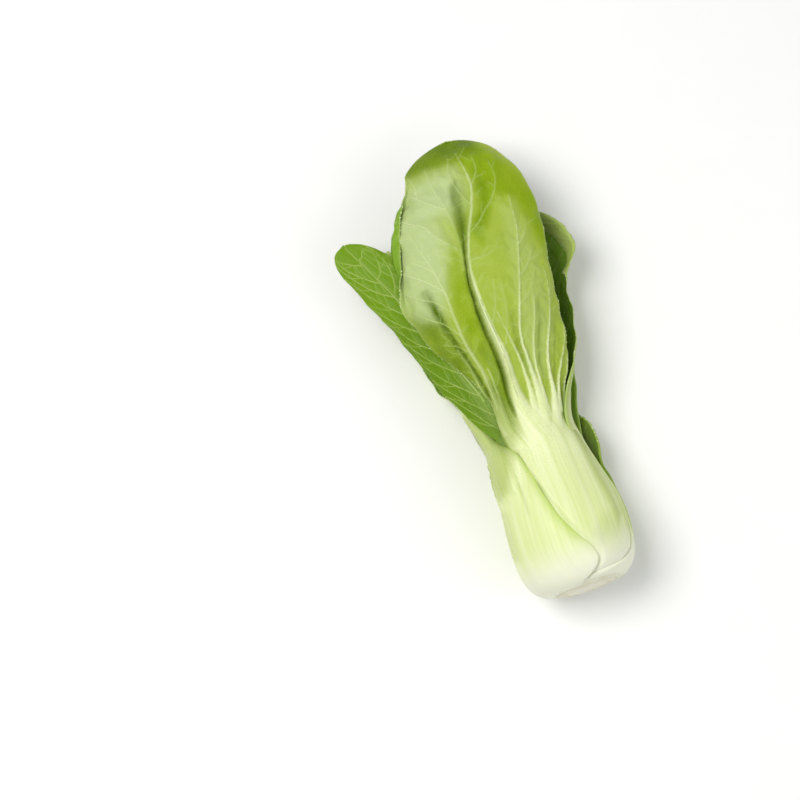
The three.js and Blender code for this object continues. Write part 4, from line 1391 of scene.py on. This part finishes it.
    def work_relief(self) -> None:
        """Pucker the blade between its veins, ruffle its margins and rib the petiole."""
        leaf = self.leaf
        on_blade = smooth(leaf.neck + 4, leaf.neck + 26, self.y) * (1 - 0.8 * self.pale)
        net = [places for places, _ in self.vein_routes]
        girths = [np.broadcast_to(radii, len(places))[:, None] for places, radii in self.vein_routes]
        distance, found = self.nearest(net, girths)
        weight = np.clip(found[..., 0] / leaf.veins.girth, 0.1, 1.0)
        self.veined = bump(distance, RELIEF.vein_mark) * on_blade * weight
        self.raised += RELIEF.vein_height * bump(distance, RELIEF.vein_width) * on_blade * weight
        lift = -leaf.pucker * (1 - bump(distance, RELIEF.pucker_width)) * on_blade
        phase = self.random.uniform(0, 6.28, 6)
        s = self.lengths[:, None]
        wave = np.sin(s / RELIEF.long_ruffle + phase[0] + 2 * np.sign(self.share))
        wave = wave + 0.6 * np.sin(s / RELIEF.short_ruffle + phase[1] - self.share)
        margin = np.abs(self.share) ** 3 * smooth(leaf.neck + 6, leaf.neck + 30, self.y)
        lift += 0.6 * leaf.ruffle * margin * wave
        swell = np.sin(s / RELIEF.swell_along + phase[2])
        swell = swell * np.sin(self.across / RELIEF.swell_across + phase[3])
        lift += RELIEF.swell_height * swell * on_blade
        on_petiole = (1 - smooth(leaf.neck - 4, leaf.neck + 26, self.y)) * smooth(2, 14, self.y - leaf.base)
        middling, fine, broad = RELIEF.fibre_pitches
        ribs = np.cos(self.across / middling + phase[4] + 0.5 * np.sin(s / 14)) * 0.4
        ribs += np.cos(self.across / fine + phase[5] + 0.3 * np.sin(s / 11)) * 0.2
        ribs += np.cos(self.across / broad + phase[2])
        self.raised += RELIEF.fibre_height * ribs * on_petiole * (1 - self.share**4)
        self.pressed += lift

    def set_faces(self) -> None:
        """Set the outer face at its relief and the inner one a wall behind, with round lips."""
        leaf = self.leaf
        u = np.abs(self.share)
        blade_share = smooth(leaf.neck - 6, leaf.neck + 44, self.y)
        last = leaf.blade[-1][0]
        keel = leaf.wall * 0.45 * bump(self.across, 3.0) * (1 - smooth(leaf.neck + 20, last - 12, self.y))
        wall = self.bulb.wall(leaf, u, self.y) * (1 - blade_share) + (BLADE_WALL + keel) * blade_share
        room = 0.6 * np.hypot(self.outer[..., 0], self.outer[..., 2])
        room = room + 100 * smooth(leaf.neck, leaf.neck + 20, self.y)
        wall = np.minimum(np.minimum(wall, room), BLADE_WALL + 0.4 * self.half_width)
        lip = np.sqrt(np.clip(1 - ((u - LIP_START) / 0.046) ** 2, 0, 1))
        lip = np.where(u > LIP_START, np.maximum(lip, 0.12), 1.0)
        front = self.pressed + self.raised - wall * (0.5 - 0.5 * lip)
        behind = self.pressed - wall * (0.5 + 0.5 * lip)
        base = self.outer
        self.outer = base + self.facing * front[..., None]
        self.inner = base + self.facing * behind[..., None]
        self.wall = wall
        self.outer[..., 2] = np.maximum(self.outer[..., 2], -LYING_DEPTH)
        self.inner[..., 2] = np.maximum(self.inner[..., 2], -LYING_DEPTH + 0.25)


class VeinNet:
    """The veins of one blade: the midrib, arched side veins that fork, and small links between them."""

    def __init__(self, sheet: Sheet) -> None:
        """Lay the veins out on a sheet.

        Args:
            sheet: The leaf's sheet, whose grid the routes follow.
        """
        self.sheet = sheet
        self.random = sheet.random
        leaf = sheet.leaf
        self.steps = sheet.share[0]
        self.last = float(leaf.blade[-1][0])
        self.routes: list = []
        self.midrib()
        if leaf.strands:
            self.by_hand()
        else:
            for side in (-1, 1):
                self.link(self.side_veins(side))

    def place(self, y: Array, u: Array) -> Array:
        """Turn heights and shares of the half width into grid places.

        Args:
            y: Heights.
            u: Shares of the half width.

        Returns:
            Row and column places with fractions.
        """
        rows = np.interp(y, self.sheet.y[:, 0], np.arange(len(self.sheet.y)))
        columns = np.interp(u, self.steps, np.arange(len(self.steps)))
        return np.column_stack([rows, columns])

    def lay(self, places: Array, start: float, end: float) -> None:
        """Add a vein along grid places, whose radius runs from start to end."""
        self.routes.append((places, np.linspace(start, end, len(places))))

    def midrib(self) -> None:
        """Run the midrib from the neck nearly to the tip."""
        leaf = self.sheet.leaf
        if leaf.midrib_drawn:
            places = self.sheet.drop_route(np.array(leaf.ribs[0])[4:, :2])
        else:
            y = np.arange(leaf.neck + 22, self.last - 1.5, 0.8)
            places = self.place(y, 0.01 * np.sin(y / 9))
        if len(places) > 3:
            self.lay(places, leaf.veins.girth * leaf.veins.midrib_share, leaf.veins.end)

    def by_hand(self) -> None:
        """Lay the strands whose course is given, and the fine twigs that leave them."""
        leaf = self.sheet.leaf
        veins = leaf.veins
        courses = [np.array(rib)[2:, :2] for rib in leaf.ribs[1:]]
        courses += [np.array(route, float) for route in leaf.strands]
        for course in courses:
            self.lay(self.sheet.drop_route(course), veins.girth, veins.strand_end)
        for course in courses + [np.array(leaf.ribs[0])[5:, :2]]:
            self.twigs(course, veins.girth * veins.twig_share)

    def twigs(self, course: Array, girth: float) -> None:
        """Grow short curved twigs from both sides of a strand.

        Args:
            course: The strand's points as seen from above.
            girth: The twigs' radius where they start.
        """
        lengths = travelled(course)
        at = self.random.uniform(2.0, 4.0)
        side = self.random.choice((-1, 1))
        while at < lengths[-1] - 1:
            start, ahead = follow(lengths, course, np.array([at, at + 0.5]))
            heading = math.atan2(*(ahead - start)[::-1]) + side * self.random.uniform(0.8, 1.25)
            bend = -side * self.random.uniform(0.02, 0.14)
            points = [start]
            for _ in range(int(self.random.uniform(4, 9))):
                points.append(points[-1] + 0.8 * np.array([math.cos(heading), math.sin(heading)]))
                heading += bend + self.random.uniform(-0.16, 0.16)
            places = self.sheet.drop_route(np.array(points))
            columns = len(self.steps)
            if len(places) > 3 and places[:, 1].min() > 3 and places[:, 1].max() < columns - 4:
                self.lay(places, girth, self.sheet.leaf.veins.twig_end)
            side = -side
            at += self.random.uniform(4.0, 8.0)

    def side_veins(self, side: int) -> list:
        """Lay the arched veins of one half blade, with a fork on each.

        Args:
            side: -1 for the left half, 1 for the right.

        Returns:
            For each vein, its heights and shares of the half width.
        """
        veins = self.sheet.leaf.veins
        laid = []
        y = veins.first + self.random.uniform(0, veins.pitch * 0.6)
        while y < self.last - 7:
            t = np.linspace(0, 1, 26)
            room = min(1.0, (self.last - 2.0 - y) / (veins.rise * 1.15))
            rise = veins.rise * room * self.random.uniform(0.85, 1.15)
            reach = 0.93 * (0.75 + 0.25 * room)
            wobble = 0.25 * np.sin(t * self.random.uniform(7, 12) + self.random.uniform(0, 6))
            heights = y + rise * (0.45 * t + 0.55 * t**2.1) + wobble
            shares = side * (0.015 + reach * t)
            laid.append((heights, shares))
            self.lay(self.place(heights, shares), veins.girth, veins.end)
            fork = int(self.random.uniform(9, 15))
            f = np.linspace(0, 1, 12)
            spread = rise * self.random.uniform(0.32, 0.5)
            fork_heights = heights[fork] + spread * (0.2 * f + 0.35 * f**2)
            fork_shares = shares[fork] + side * (reach - abs(shares[fork])) * f
            places = self.place(fork_heights, fork_shares)
            self.lay(places, veins.girth * veins.fork_share, veins.fork_end)
            y += veins.pitch * self.random.uniform(0.8, 1.2)
        return laid

    def link(self, laid: list) -> None:
        """Join neighbouring side veins with thin, crooked links.

        Args:
            laid: The side veins of one half blade.
        """
        veins = self.sheet.leaf.veins
        girth = veins.girth * veins.link_share
        last = len(laid[0][0]) - 1 if laid else 0
        for (low_y, low_u), (high_y, high_u) in zip(laid, laid[1:]):
            for k in range(veins.links):
                share = (k + self.random.uniform(0.3, 0.9)) / (veins.links + 0.5)
                a = int(share * last)
                b = int(np.clip(a - self.random.integers(0, 5), 0, last))
                t = np.linspace(0, 1, 9)
                crook = self.random.uniform(-0.03, 0.03) * np.sin(t * math.pi) + 0.012 * np.sin(t * 9)
                heights = low_y[a] + (high_y[b] - low_y[a]) * t
                shares = low_u[a] + (high_u[b] - low_u[a]) * t + crook
                self.lay(self.place(heights, shares), girth, girth)


# -------------------- geometry node makers


class Grower:
    """A geometry node tree that turns a seed mesh into a finished one."""

    def __init__(self, name: str, sizes: tuple) -> None:
        """Open the tree with a named input for each size and for the finish.

        Args:
            name: The tree's name.
            sizes: For each size, its input's name and kind of number.
        """
        tree = bpy.data.node_groups.new(name, "GeometryNodeTree")
        sockets = (("Geometry", "Geometry"), *sizes, ("Finish", "Material"))
        made = [tree.interface.new_socket(label, in_out="INPUT", socket_type="NodeSocket" + kind)
                for label, kind in sockets]
        tree.interface.new_socket("Geometry", in_out="OUTPUT", socket_type="NodeSocketGeometry")
        self.identifiers = {socket.name: socket.identifier for socket in made}
        self.tree = tree
        self.nodes = Nodes(tree)
        self.entry = self.nodes.add("NodeGroupInput")

    def end(self, *stops: tuple) -> None:
        """Chain the last nodes and end in real instances, smooth shading and the finish.

        Args:
            stops: The nodes before those, as in Nodes.chain.
        """
        add = self.nodes.add
        paint = self.nodes.fill(add("GeometryNodeSetMaterial"), Material=self.entry.outputs["Finish"])
        self.nodes.chain(
            *stops,
            ("Geometry", add("GeometryNodeRealizeInstances"), "Geometry"),
            ("Geometry", add("GeometryNodeSetShadeSmooth"), "Geometry"),
            ("Geometry", paint, "Geometry"),
            ("Geometry", add("NodeGroupOutput"), ""),
        )

    def grow(self, name: str, seed_mesh: Mesh, **values: object) -> Object:
        """Run the tree on a mesh and keep the result as a plain mesh.

        Args:
            name: The piece's name.
            seed_mesh: The mesh that the tree starts from.
            values: The tree's inputs by name, the finish among them.

        Returns:
            The finished object, with no modifier left on it.
        """
        piece = placed(name, seed_mesh)
        modifier = piece.modifiers.new("grow", "NODES")
        modifier.node_group = self.tree
        for label, value in values.items():
            modifier[self.identifiers[label]] = value
        ready = piece.evaluated_get(bpy.context.evaluated_depsgraph_get())
        mesh = bpy.data.meshes.new_from_object(ready)
        piece.modifiers.clear()
        piece.data = mesh
        mesh.name = name
        if not mesh.materials:
            mesh.materials.append(values["Finish"])
        return piece


class Strands(Grower):
    """Turns lines of points into round strands, thicker or thinner along their way."""

    def __init__(self) -> None:
        """Build the node tree that sweeps a round section along each line."""
        super().__init__("swept_strands", (("Girth", "Float"), ("Sides", "Int")))
        nodes, entry = self.nodes, self.entry
        own = nodes.fill(nodes.add("GeometryNodeInputNamedAttribute", data_type="FLOAT"), Name="girth")
        girth = nodes.times(own.outputs["Attribute"], entry.outputs["Girth"])
        circle = nodes.add("GeometryNodeCurvePrimitiveCircle", mode="RADIUS")
        nodes.fill(circle, Resolution=entry.outputs["Sides"], Radius=1.0)
        sweep = nodes.add("GeometryNodeCurveToMesh")
        nodes.fill(sweep, Profile_Curve=circle.outputs["Curve"], Scale=girth, Fill_Caps=True)
        self.end(
            ("", entry, "Geometry"),
            ("Mesh", nodes.add("GeometryNodeMeshToCurve"), "Curve"),
            ("Curve", nodes.fill(nodes.add("GeometryNodeSetCurveRadius"), Radius=girth), "Curve"),
            ("Curve", sweep, "Mesh"),
        )

    def make(self, name: str, lines: list, girths: list, light: list,
             finish: Material) -> Object:
        """Sweep strands along lines and keep them as one plain mesh.

        Args:
            name: The piece's name.
            lines: Lists of points in metres in the frame.
            girths: For each line, the strand's radius in metres at each point.
            light: For each line, how pale the strand is at each point, with painted sheen and painted shade
                in it.
            finish: The strands' material.

        Returns:
            The finished object.
        """
        starts = np.cumsum([0] + [len(line) for line in lines[:-1]])
        edges = [(start + k, start + k + 1)
                 for start, line in zip(starts, lines) for k in range(len(line) - 1)]
        mesh = bpy.data.meshes.new(name + "_lines")
        mesh.from_pydata(np.concatenate(lines).tolist(), edges, [])
        mark(mesh, "girth", np.concatenate(girths))
        mark(mesh, "light", np.concatenate(light))
        return self.grow(name, mesh, Girth=1.0, Sides=5, Finish=finish)


class Beads(Grower):
    """Sets small rounded beads at points, each sized a little differently."""

    def __init__(self) -> None:
        """Build the node tree that sets a bead on each point."""
        sizes = (("Radius", "Float"), ("Variation", "Float"), ("Roundness", "Int"), ("Seed", "Int"))
        super().__init__("set_beads", sizes)
        nodes, inputs = self.nodes, self.entry.outputs
        bead = nodes.fill(nodes.add("GeometryNodeMeshIcoSphere"), Radius=inputs["Radius"],
                          Subdivisions=inputs["Roundness"])
        size = nodes.fill(nodes.add("FunctionNodeRandomValue", data_type="FLOAT"), Seed=inputs["Seed"])
        nodes.join(nodes.math("SUBTRACT", 1.0, inputs["Variation"]), size.inputs[2])
        size.inputs[3].default_value = 1.0
        spread = nodes.add("GeometryNodeInstanceOnPoints")
        nodes.fill(spread, Instance=bead.outputs["Mesh"], Scale=size.outputs[1])
        self.end(
            ("", self.entry, "Geometry"),
            ("Mesh", nodes.add("GeometryNodeMeshToPoints"), "Points"),
            ("Points", spread, "Instances"),
        )

    def make(self, name: str, points: Array, radius: float, vary: float, seed: int,
             finish: Material) -> Object:
        """Set beads on points and keep them as one plain mesh.

        Args:
            name: The piece's name.
            points: Points in metres in the frame.
            radius: The largest bead's radius in metres.
            vary: How much smaller the smallest bead is.
            seed: Seed of the beads' sizes.
            finish: The beads' material.

        Returns:
            The finished object.
        """
        mesh = bpy.data.meshes.new(name + "_points")
        mesh.from_pydata(points.tolist(), [], [])
        return self.grow(name, mesh, Radius=radius, Variation=vary, Roundness=1, Seed=seed, Finish=finish)


# -------------------- sub-assemblies


@dataclass
class Placement:
    """Where the head's own axes lie in the frame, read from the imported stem."""

    shift: Array = field(default_factory=lambda: np.zeros(3))

    def __post_init__(self) -> None:
        """Read the middle of the stem's cut face."""
        low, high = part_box("stem_base")
        self.shift = np.array([(low[0] + high[0]) / 2, low[1], (low[2] + high[2]) / 2])

    def metres(self, points: Array) -> Array:
        """Turn points in the head's millimetres into the frame's metres."""
        return np.asarray(points) * MM + self.shift


@dataclass
class Dresser:
    """The materials and makers that the sub-assemblies share."""

    tissues: dict
    veins: Material
    beads: Material
    bundles: Material
    stem: Material
    strand_maker: Strands
    bead_maker: Beads

    @classmethod
    def build(cls) -> "Dresser":
        """Make every material and node tree once.

        Returns:
            The dresser that holds them.
        """
        grain = tissue_grain_group()
        return cls(
            tissues={finish.tone: finish.material(grain) for finish in LEAF_FINISHES},
            veins=VEIN_FINISH.material(grain),
            beads=BEAD_FINISH.material(grain),
            bundles=BUNDLE_FINISH.material(grain),
            stem=StemFinish().material(grain),
            strand_maker=Strands(),
            bead_maker=Beads(),
        )


def settle(piece: Object, slot: Slot, node: str = "") -> Object:
    """Hand a finished piece to the frame.

    Args:
        piece: The finished object.
        slot: The record's slot for the piece; it is not used.
        node: The CAD node that it stands for, if any.

    Returns:
        The same object.
    """
    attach(piece, BODY)
    if node:
        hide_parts(node)
    LOG.info("%s: %d faces", piece.name, len(piece.data.polygons))
    return piece


@dataclass
class Leaf:
    """One leaf with its veins and the beads along its margin."""

    form: LeafForm
    index: int
    placement: Placement
    dresser: Dresser
    bulb: Bulb
    bead_pitch: float = 1.35
    bead_stray: float = 0.45
    beads_missing: float = 0.22
    bead_radius: float = 0.34 * MM
    sheet: Sheet = field(init=False)

    def build(self) -> None:
        """Make the leaf's pieces and hand them to the frame."""
        self.sheet = Sheet(self.form, self.index, self.bulb)
        slot = SLOT_OF_TONE[self.form.tone]
        settle(self.blade(), slot, self.form.name)
        settle(self.veins(), slot)
        if self.form.tone is not Tone.HEART:
            settle(self.margin_beads(), slot)

    def blade(self) -> Object:
        """Make the closed leaf mesh with its UV map and attributes.

        Returns:
            The leaf's skin.
        """
        sheet = self.sheet
        rows, columns = sheet.outer.shape[:2]
        points = np.concatenate([sheet.outer.reshape(-1, 3), sheet.inner.reshape(-1, 3)])
        grid = np.arange(rows * columns).reshape(rows, columns)
        corners = (grid[:-1, :-1], grid[:-1, 1:], grid[1:, 1:], grid[1:, :-1])
        behind = rows * columns
        front = np.stack([corner.ravel() for corner in corners], 1)
        back = front[:, ::-1] + behind
        rim = np.concatenate([grid[0, :-1], grid[:-1, -1], grid[-1, :0:-1], grid[:0:-1, 0]])
        after = np.roll(rim, -1)
        edge = np.stack([after, rim, rim + behind, after + behind], 1)
        faces = np.concatenate([front, back, edge])
        mesh = bpy.data.meshes.new(self.form.name)
        mesh.vertices.add(len(points))
        mesh.vertices.foreach_set("co", self.placement.metres(points).astype(np.float32).ravel())
        mesh.loops.add(faces.size)
        mesh.loops.foreach_set("vertex_index", faces.ravel().astype(np.int32))
        mesh.polygons.add(len(faces))
        mesh.polygons.foreach_set("loop_start", np.arange(0, faces.size, 4, dtype=np.int32))
        mesh.polygons.foreach_set("use_smooth", np.ones(len(faces), bool))
        mesh.update(calc_edges=True)
        mesh.validate()
        across = np.broadcast_to(sheet.across, (rows, columns)).ravel()
        along = np.broadcast_to(sheet.lengths[:, None], (rows, columns)).ravel()
        places = np.tile(np.stack([across, along], 1), (2, 1)) * MM
        layer = mesh.uv_layers.new(name="leaf")
        layer.data.foreach_set("uv", places[faces.ravel()].astype(np.float32).ravel())
        for name, sides in self.paint().items():
            spread = [np.broadcast_to(side, (rows, columns)).ravel() for side in sides]
            mark(mesh, name, np.concatenate(spread))
        mesh.materials.append(self.dresser.tissues[self.form.tone])
        return placed("skin_" + self.form.name, mesh)

    def paint(self) -> dict:
        """Work out the masks that the material reads.

        Returns:
            For each mask, its values on the outer and on the inner face.
        """
        sheet, form = self.sheet, self.form
        edge = np.abs(sheet.share)
        on_blade = smooth(form.neck, form.neck + 20, sheet.y)
        rim = bump((1 - edge) * sheet.half_width, 0.6) * on_blade
        thin = smooth(0.8, 1.0, edge) * (1 - on_blade) * smooth(form.base + 4, form.base + 16, sheet.y)
        foot = 1 - smooth(form.base + 3, form.base + 20, sheet.y)
        inner_pale = sheet.pale * (0.55 + 0.45 * bump(sheet.across, 4.0))
        masks = {
            "pale": (sheet.pale, inner_pale),
            "upper": (np.zeros(1), np.full(1, form.upper_share)),
            "veined": (sheet.veined, np.minimum(1.9 * sheet.veined, 1.0)),
        }
        both_faces = {"rim": rim, "thin": thin, "foot": foot, "neck": smooth(30, 58, sheet.y)}
        both_faces.update({tint.value: values for tint, values in sheet.tints.items()})
        masks.update({name: (values, values) for name, values in both_faces.items()})
        return masks

    def veins(self) -> Object:
        """Sweep the veins, partly sunk in the back of the blade.

        Returns:
            The leaf's veins.
        """
        sheet = self.sheet
        # Veins are lighter on pale tissue and under the bloom's painted sheen, and darker under painted
        # shade.
        pallor_sheen_and_shade = np.clip(sheet.tints[Tint.FROST] + sheet.pale - 0.5 * sheet.tints[Tint.DEEP], 0, 1)
        lines, girths, light = [], [], []
        for places, radii in sheet.vein_routes:
            middle = sheet.read(sheet.outer, places)
            facing = unit(sheet.read(sheet.facing, places))
            sink = np.minimum(sheet.read(sheet.wall, places) * 0.5, radii * 0.7)
            lines.append(self.placement.metres(middle - facing * sink[:, None]))
            girths.append(radii * MM)
            light.append(sheet.read(pallor_sheen_and_shade, places))
        name = "veins_" + self.form.name
        return self.dresser.strand_maker.make(name, lines, girths, light, self.dresser.veins)

    def margin_beads(self) -> Object:
        """Set the row of tiny pale beads along both margins of the blade.

        Returns:
            The leaf's beads.
        """
        sheet = self.sheet
        start = int(np.argmax(sheet.y[:, 0] > self.form.neck + 14))
        found = []
        for column in (0, -1):
            line = 0.5 * (sheet.outer[start:, column] + sheet.inner[start:, column])
            lengths = travelled(line)
            at = np.arange(0, lengths[-1], self.bead_pitch)
            at = at + sheet.random.uniform(-self.bead_stray, self.bead_stray, len(at))
            at = at[sheet.random.random(len(at)) > self.beads_missing]
            found.append(np.column_stack([np.interp(at, lengths, line[:, axis]) for axis in range(3)]))
        points = self.placement.metres(np.concatenate(found))
        return self.dresser.bead_maker.make("beads_" + self.form.name, points, self.bead_radius, 0.6,
                                            self.form.veins.seed, self.dresser.beads)


@dataclass
class StemBase:
    """The short stem: a cut face with its ring of bundles, and the scarred side above it."""

    placement: Placement
    dresser: Dresser
    sides: int = 128
    rounds: int = 90
    face_radius: float = 11.6
    ring_radius: float = 9.0
    bundle_circle: float = 8.9
    bundle_count: int = 44
    outline: tuple = (
        (0.05, 0.30), (3.0, 0.26), (5.5, 0.20), (6.8, 0.12), (7.6, 0.06), (8.6, 0.02), (9.5, 0.02),
        (10.6, 0.12), (11.6, 0.36), (12.5, 0.68), (13.3, 1.05), (14.1, 1.5), (14.8, 2.05), (15.4, 2.8),
        (15.7, 3.7), (15.5, 4.7), (14.8, 5.8), (13.0, 6.6), (8.0, 7.5), (4.0, 8.5), (0.05, 9.1),
    )

    def build(self) -> None:
        """Make the stem's pieces and hand them to the frame."""
        settle(self.body(), Slot.STEM, "stem_base")
        settle(self.bundles(), Slot.STEM)

    def body(self) -> Object:
        """Turn the outline round, wavy as a grown thing, and close it at both poles.

        Returns:
            The stem's skin.
        """
        knots = np.arange(len(self.outline))
        profile = follow(knots, np.array(self.outline), np.linspace(0, knots[-1], self.rounds))
        angle = np.linspace(0, 2 * math.pi, self.sides, endpoint=False)[None, :]
        r, y = profile[:, :1], profile[:, 1:]
        outside = smooth(12.0, 13.5, r) * smooth(7.2, 5.0, y)
        wave = 0.22 * np.sin(3 * angle + 0.7) + 0.14 * np.sin(7 * angle + 1.9) + 0.06 * np.sin(17 * angle)
        scar = bump(y - 2.3 - 0.5 * np.sin(angle + 0.6), 0.25) * outside
        radius = r + wave * smooth(4, 10, r) * 0.7 - 0.12 * scar
        saw = np.sin(radius * np.cos(angle) * 2.3 + 0.4 * radius * np.sin(angle))
        height = y + 0.06 * saw * smooth(10.3, 9.0, r) * (y < 2)
        points = np.stack([radius * np.sin(angle), height, radius * np.cos(angle)], -1)
        rows = len(profile)
        poles = np.array([[0, height[0].mean(), 0], [0, height[-1].mean(), 0]])
        points = np.concatenate([points.reshape(-1, 3), poles])
        grid = np.arange(rows * self.sides).reshape(rows, self.sides)
        beside = np.roll(grid, -1, axis=1)
        quads = np.stack([grid[:-1].ravel(), grid[1:].ravel(), beside[1:].ravel(), beside[:-1].ravel()], 1)
        first, last = rows * self.sides, rows * self.sides + 1
        faces = quads.tolist()
        faces += [(first, int(grid[0, k]), int(beside[0, k])) for k in range(self.sides)]
        faces += [(last, int(beside[-1, k]), int(grid[-1, k])) for k in range(self.sides)]
        mesh = bpy.data.meshes.new("stem_base")
        mesh.from_pydata(self.placement.metres(points).tolist(), [], faces)
        mesh.polygons.foreach_set("use_smooth", np.ones(len(faces), bool))
        mesh.update()
        flat = np.broadcast_to(smooth(11.8, 10.2, r) * (y < 1.5), radius.shape)
        masks = {
            "face": flat,
            "ring": bump(radius - self.ring_radius, 1.1) * flat,
            "scar": scar,
            "rim": bump(radius - self.face_radius, 0.6) * (y < 1.5) * 0.35,
        }
        for name, values in masks.items():
            mark(mesh, name, np.concatenate([values.ravel(), [values[0].mean(), values[-1].mean()]]))
        mesh.materials.append(self.dresser.stem)
        return placed("skin_stem_base", mesh)

    def bundles(self) -> Object:
        """Set the ring of sap bundles that show as dots on the cut face.

        Returns:
            The stem's bundles.
        """
        random = np.random.default_rng(7)
        count = self.bundle_count
        angle = np.linspace(0, 2 * math.pi, count, endpoint=False) + random.uniform(-0.04, 0.04, count)
        radius = self.bundle_circle + random.uniform(-0.45, 0.45, count)
        points = np.column_stack([radius * np.sin(angle), np.full(count, 0.13), radius * np.cos(angle)])
        return self.dresser.bead_maker.make("bundles_stem_base", self.placement.metres(points), 0.3 * MM,
                                            0.5, 9, self.dresser.bundles)


@dataclass(frozen=True)
class Lamp:
    """A square soft light: where it hangs, its side in metres, its power in watts and its colour."""

    name: str
    place: tuple
    size: float
    power: float
    warmth: Colour


@dataclass
class Studio:
    """The pale floor, the soft lights and the camera."""

    placement: Placement
    lamps: tuple = (
        Lamp("key", (-0.36, 0.14, 0.84), 0.46, 6.0, (1.0, 0.99, 0.96)),
        Lamp("fill", (0.5, -0.5, 0.6), 0.9, 2.6, (0.97, 0.99, 1.0)),
    )
    sky: float = 0.42
    lit_height: float = 0.02
    floor_reach: float = 3.0
    foot_point: tuple = (0, -2.2, 0)
    sensor: float = 36.0
    azimuth: float = -18.0
    elevation: float = 78.0
    distance: float = 1.0
    field_width: float = 0.300
    foot_right: float = 0.0709
    foot_down: float = 0.0729

    def build(self) -> None:
        """Lay the floor, hang the lights and aim the camera."""
        self.floor()
        self.lights()
        self.camera()

    def floor(self) -> None:
        """Lay a wide, pale, softly mottled floor under the head."""
        reach = self.floor_reach
        mesh = bpy.data.meshes.new("floor")
        corners = [(-reach, -reach, 0), (reach, -reach, 0), (reach, reach, 0), (-reach, reach, 0)]
        mesh.from_pydata(corners, [], [(0, 1, 2, 3)])
        floor = placed("floor", mesh)
        made, nodes, shader = surface("floor_paper")
        grain = nodes.noise(nodes.add("ShaderNodeTexCoord").outputs["Object"], 40.0, 4.0)
        nodes.fill(shader, Base_Color=nodes.blend(grain, (0.90, 0.90, 0.895), (0.93, 0.93, 0.93)),
                   Roughness=0.85, Specular_IOR_Level=0.2)
        mesh.materials.append(made)

    def lights(self) -> None:
        """Hang a broad key light at the upper left, a fill, and a bright even sky."""
        for lamp in self.lamps:
            data = bpy.data.lights.new(lamp.name, "AREA")
            data.size = lamp.size
            data.energy = lamp.power
            data.color = lamp.warmth
            light = placed(lamp.name, data)
            light.location = lamp.place
            light.rotation_mode = "QUATERNION"
            aim = Vector((0, 0, self.lit_height)) - Vector(lamp.place)
            light.rotation_quaternion = aim.to_track_quat("-Z", "Y")
        world = bpy.data.worlds.new("studio")
        bpy.context.scene.world = world
        world.use_nodes = True
        back = world.node_tree.nodes["Background"]
        back.inputs[0].default_value = (1, 1, 1, 1)
        back.inputs[1].default_value = self.sky
        bpy.context.scene.view_settings.view_transform = "Standard"

    def camera(self) -> None:
        """Look down on the head from near its foot, with the foot at the lower right."""
        a, e = math.radians(self.azimuth), math.radians(self.elevation)
        back = Vector((math.sin(a) * math.cos(e), -math.cos(a) * math.cos(e), math.sin(e)))
        right = Vector((math.cos(a), math.sin(a), 0))
        up = back.cross(right)
        foot = Vector(self.placement.metres(np.array(self.foot_point)))
        target = foot - right * self.foot_right + up * self.foot_down
        data = bpy.data.cameras.new("camera")
        data.sensor_width = self.sensor
        data.lens = self.sensor * self.distance / self.field_width
        camera = placed("camera", data)
        turned = Matrix((right, up, back)).transposed().to_4x4()
        turned.translation = target + back * self.distance
        camera.matrix_world = turned
        bpy.context.scene.camera = camera


def main() -> None:
    """Build the head from the stem outwards, then the studio round it."""
    logging.basicConfig(level=logging.INFO, format="%(name)s %(message)s")
    placement = Placement()
    dresser = Dresser.build()
    StemBase(placement, dresser).build()
    bulb = Bulb()
    for index, form in enumerate(LEAVES):
        Leaf(form, index, placement, dresser, bulb).build()
    Studio(placement).build()


if __name__ == "__main__":
    main()
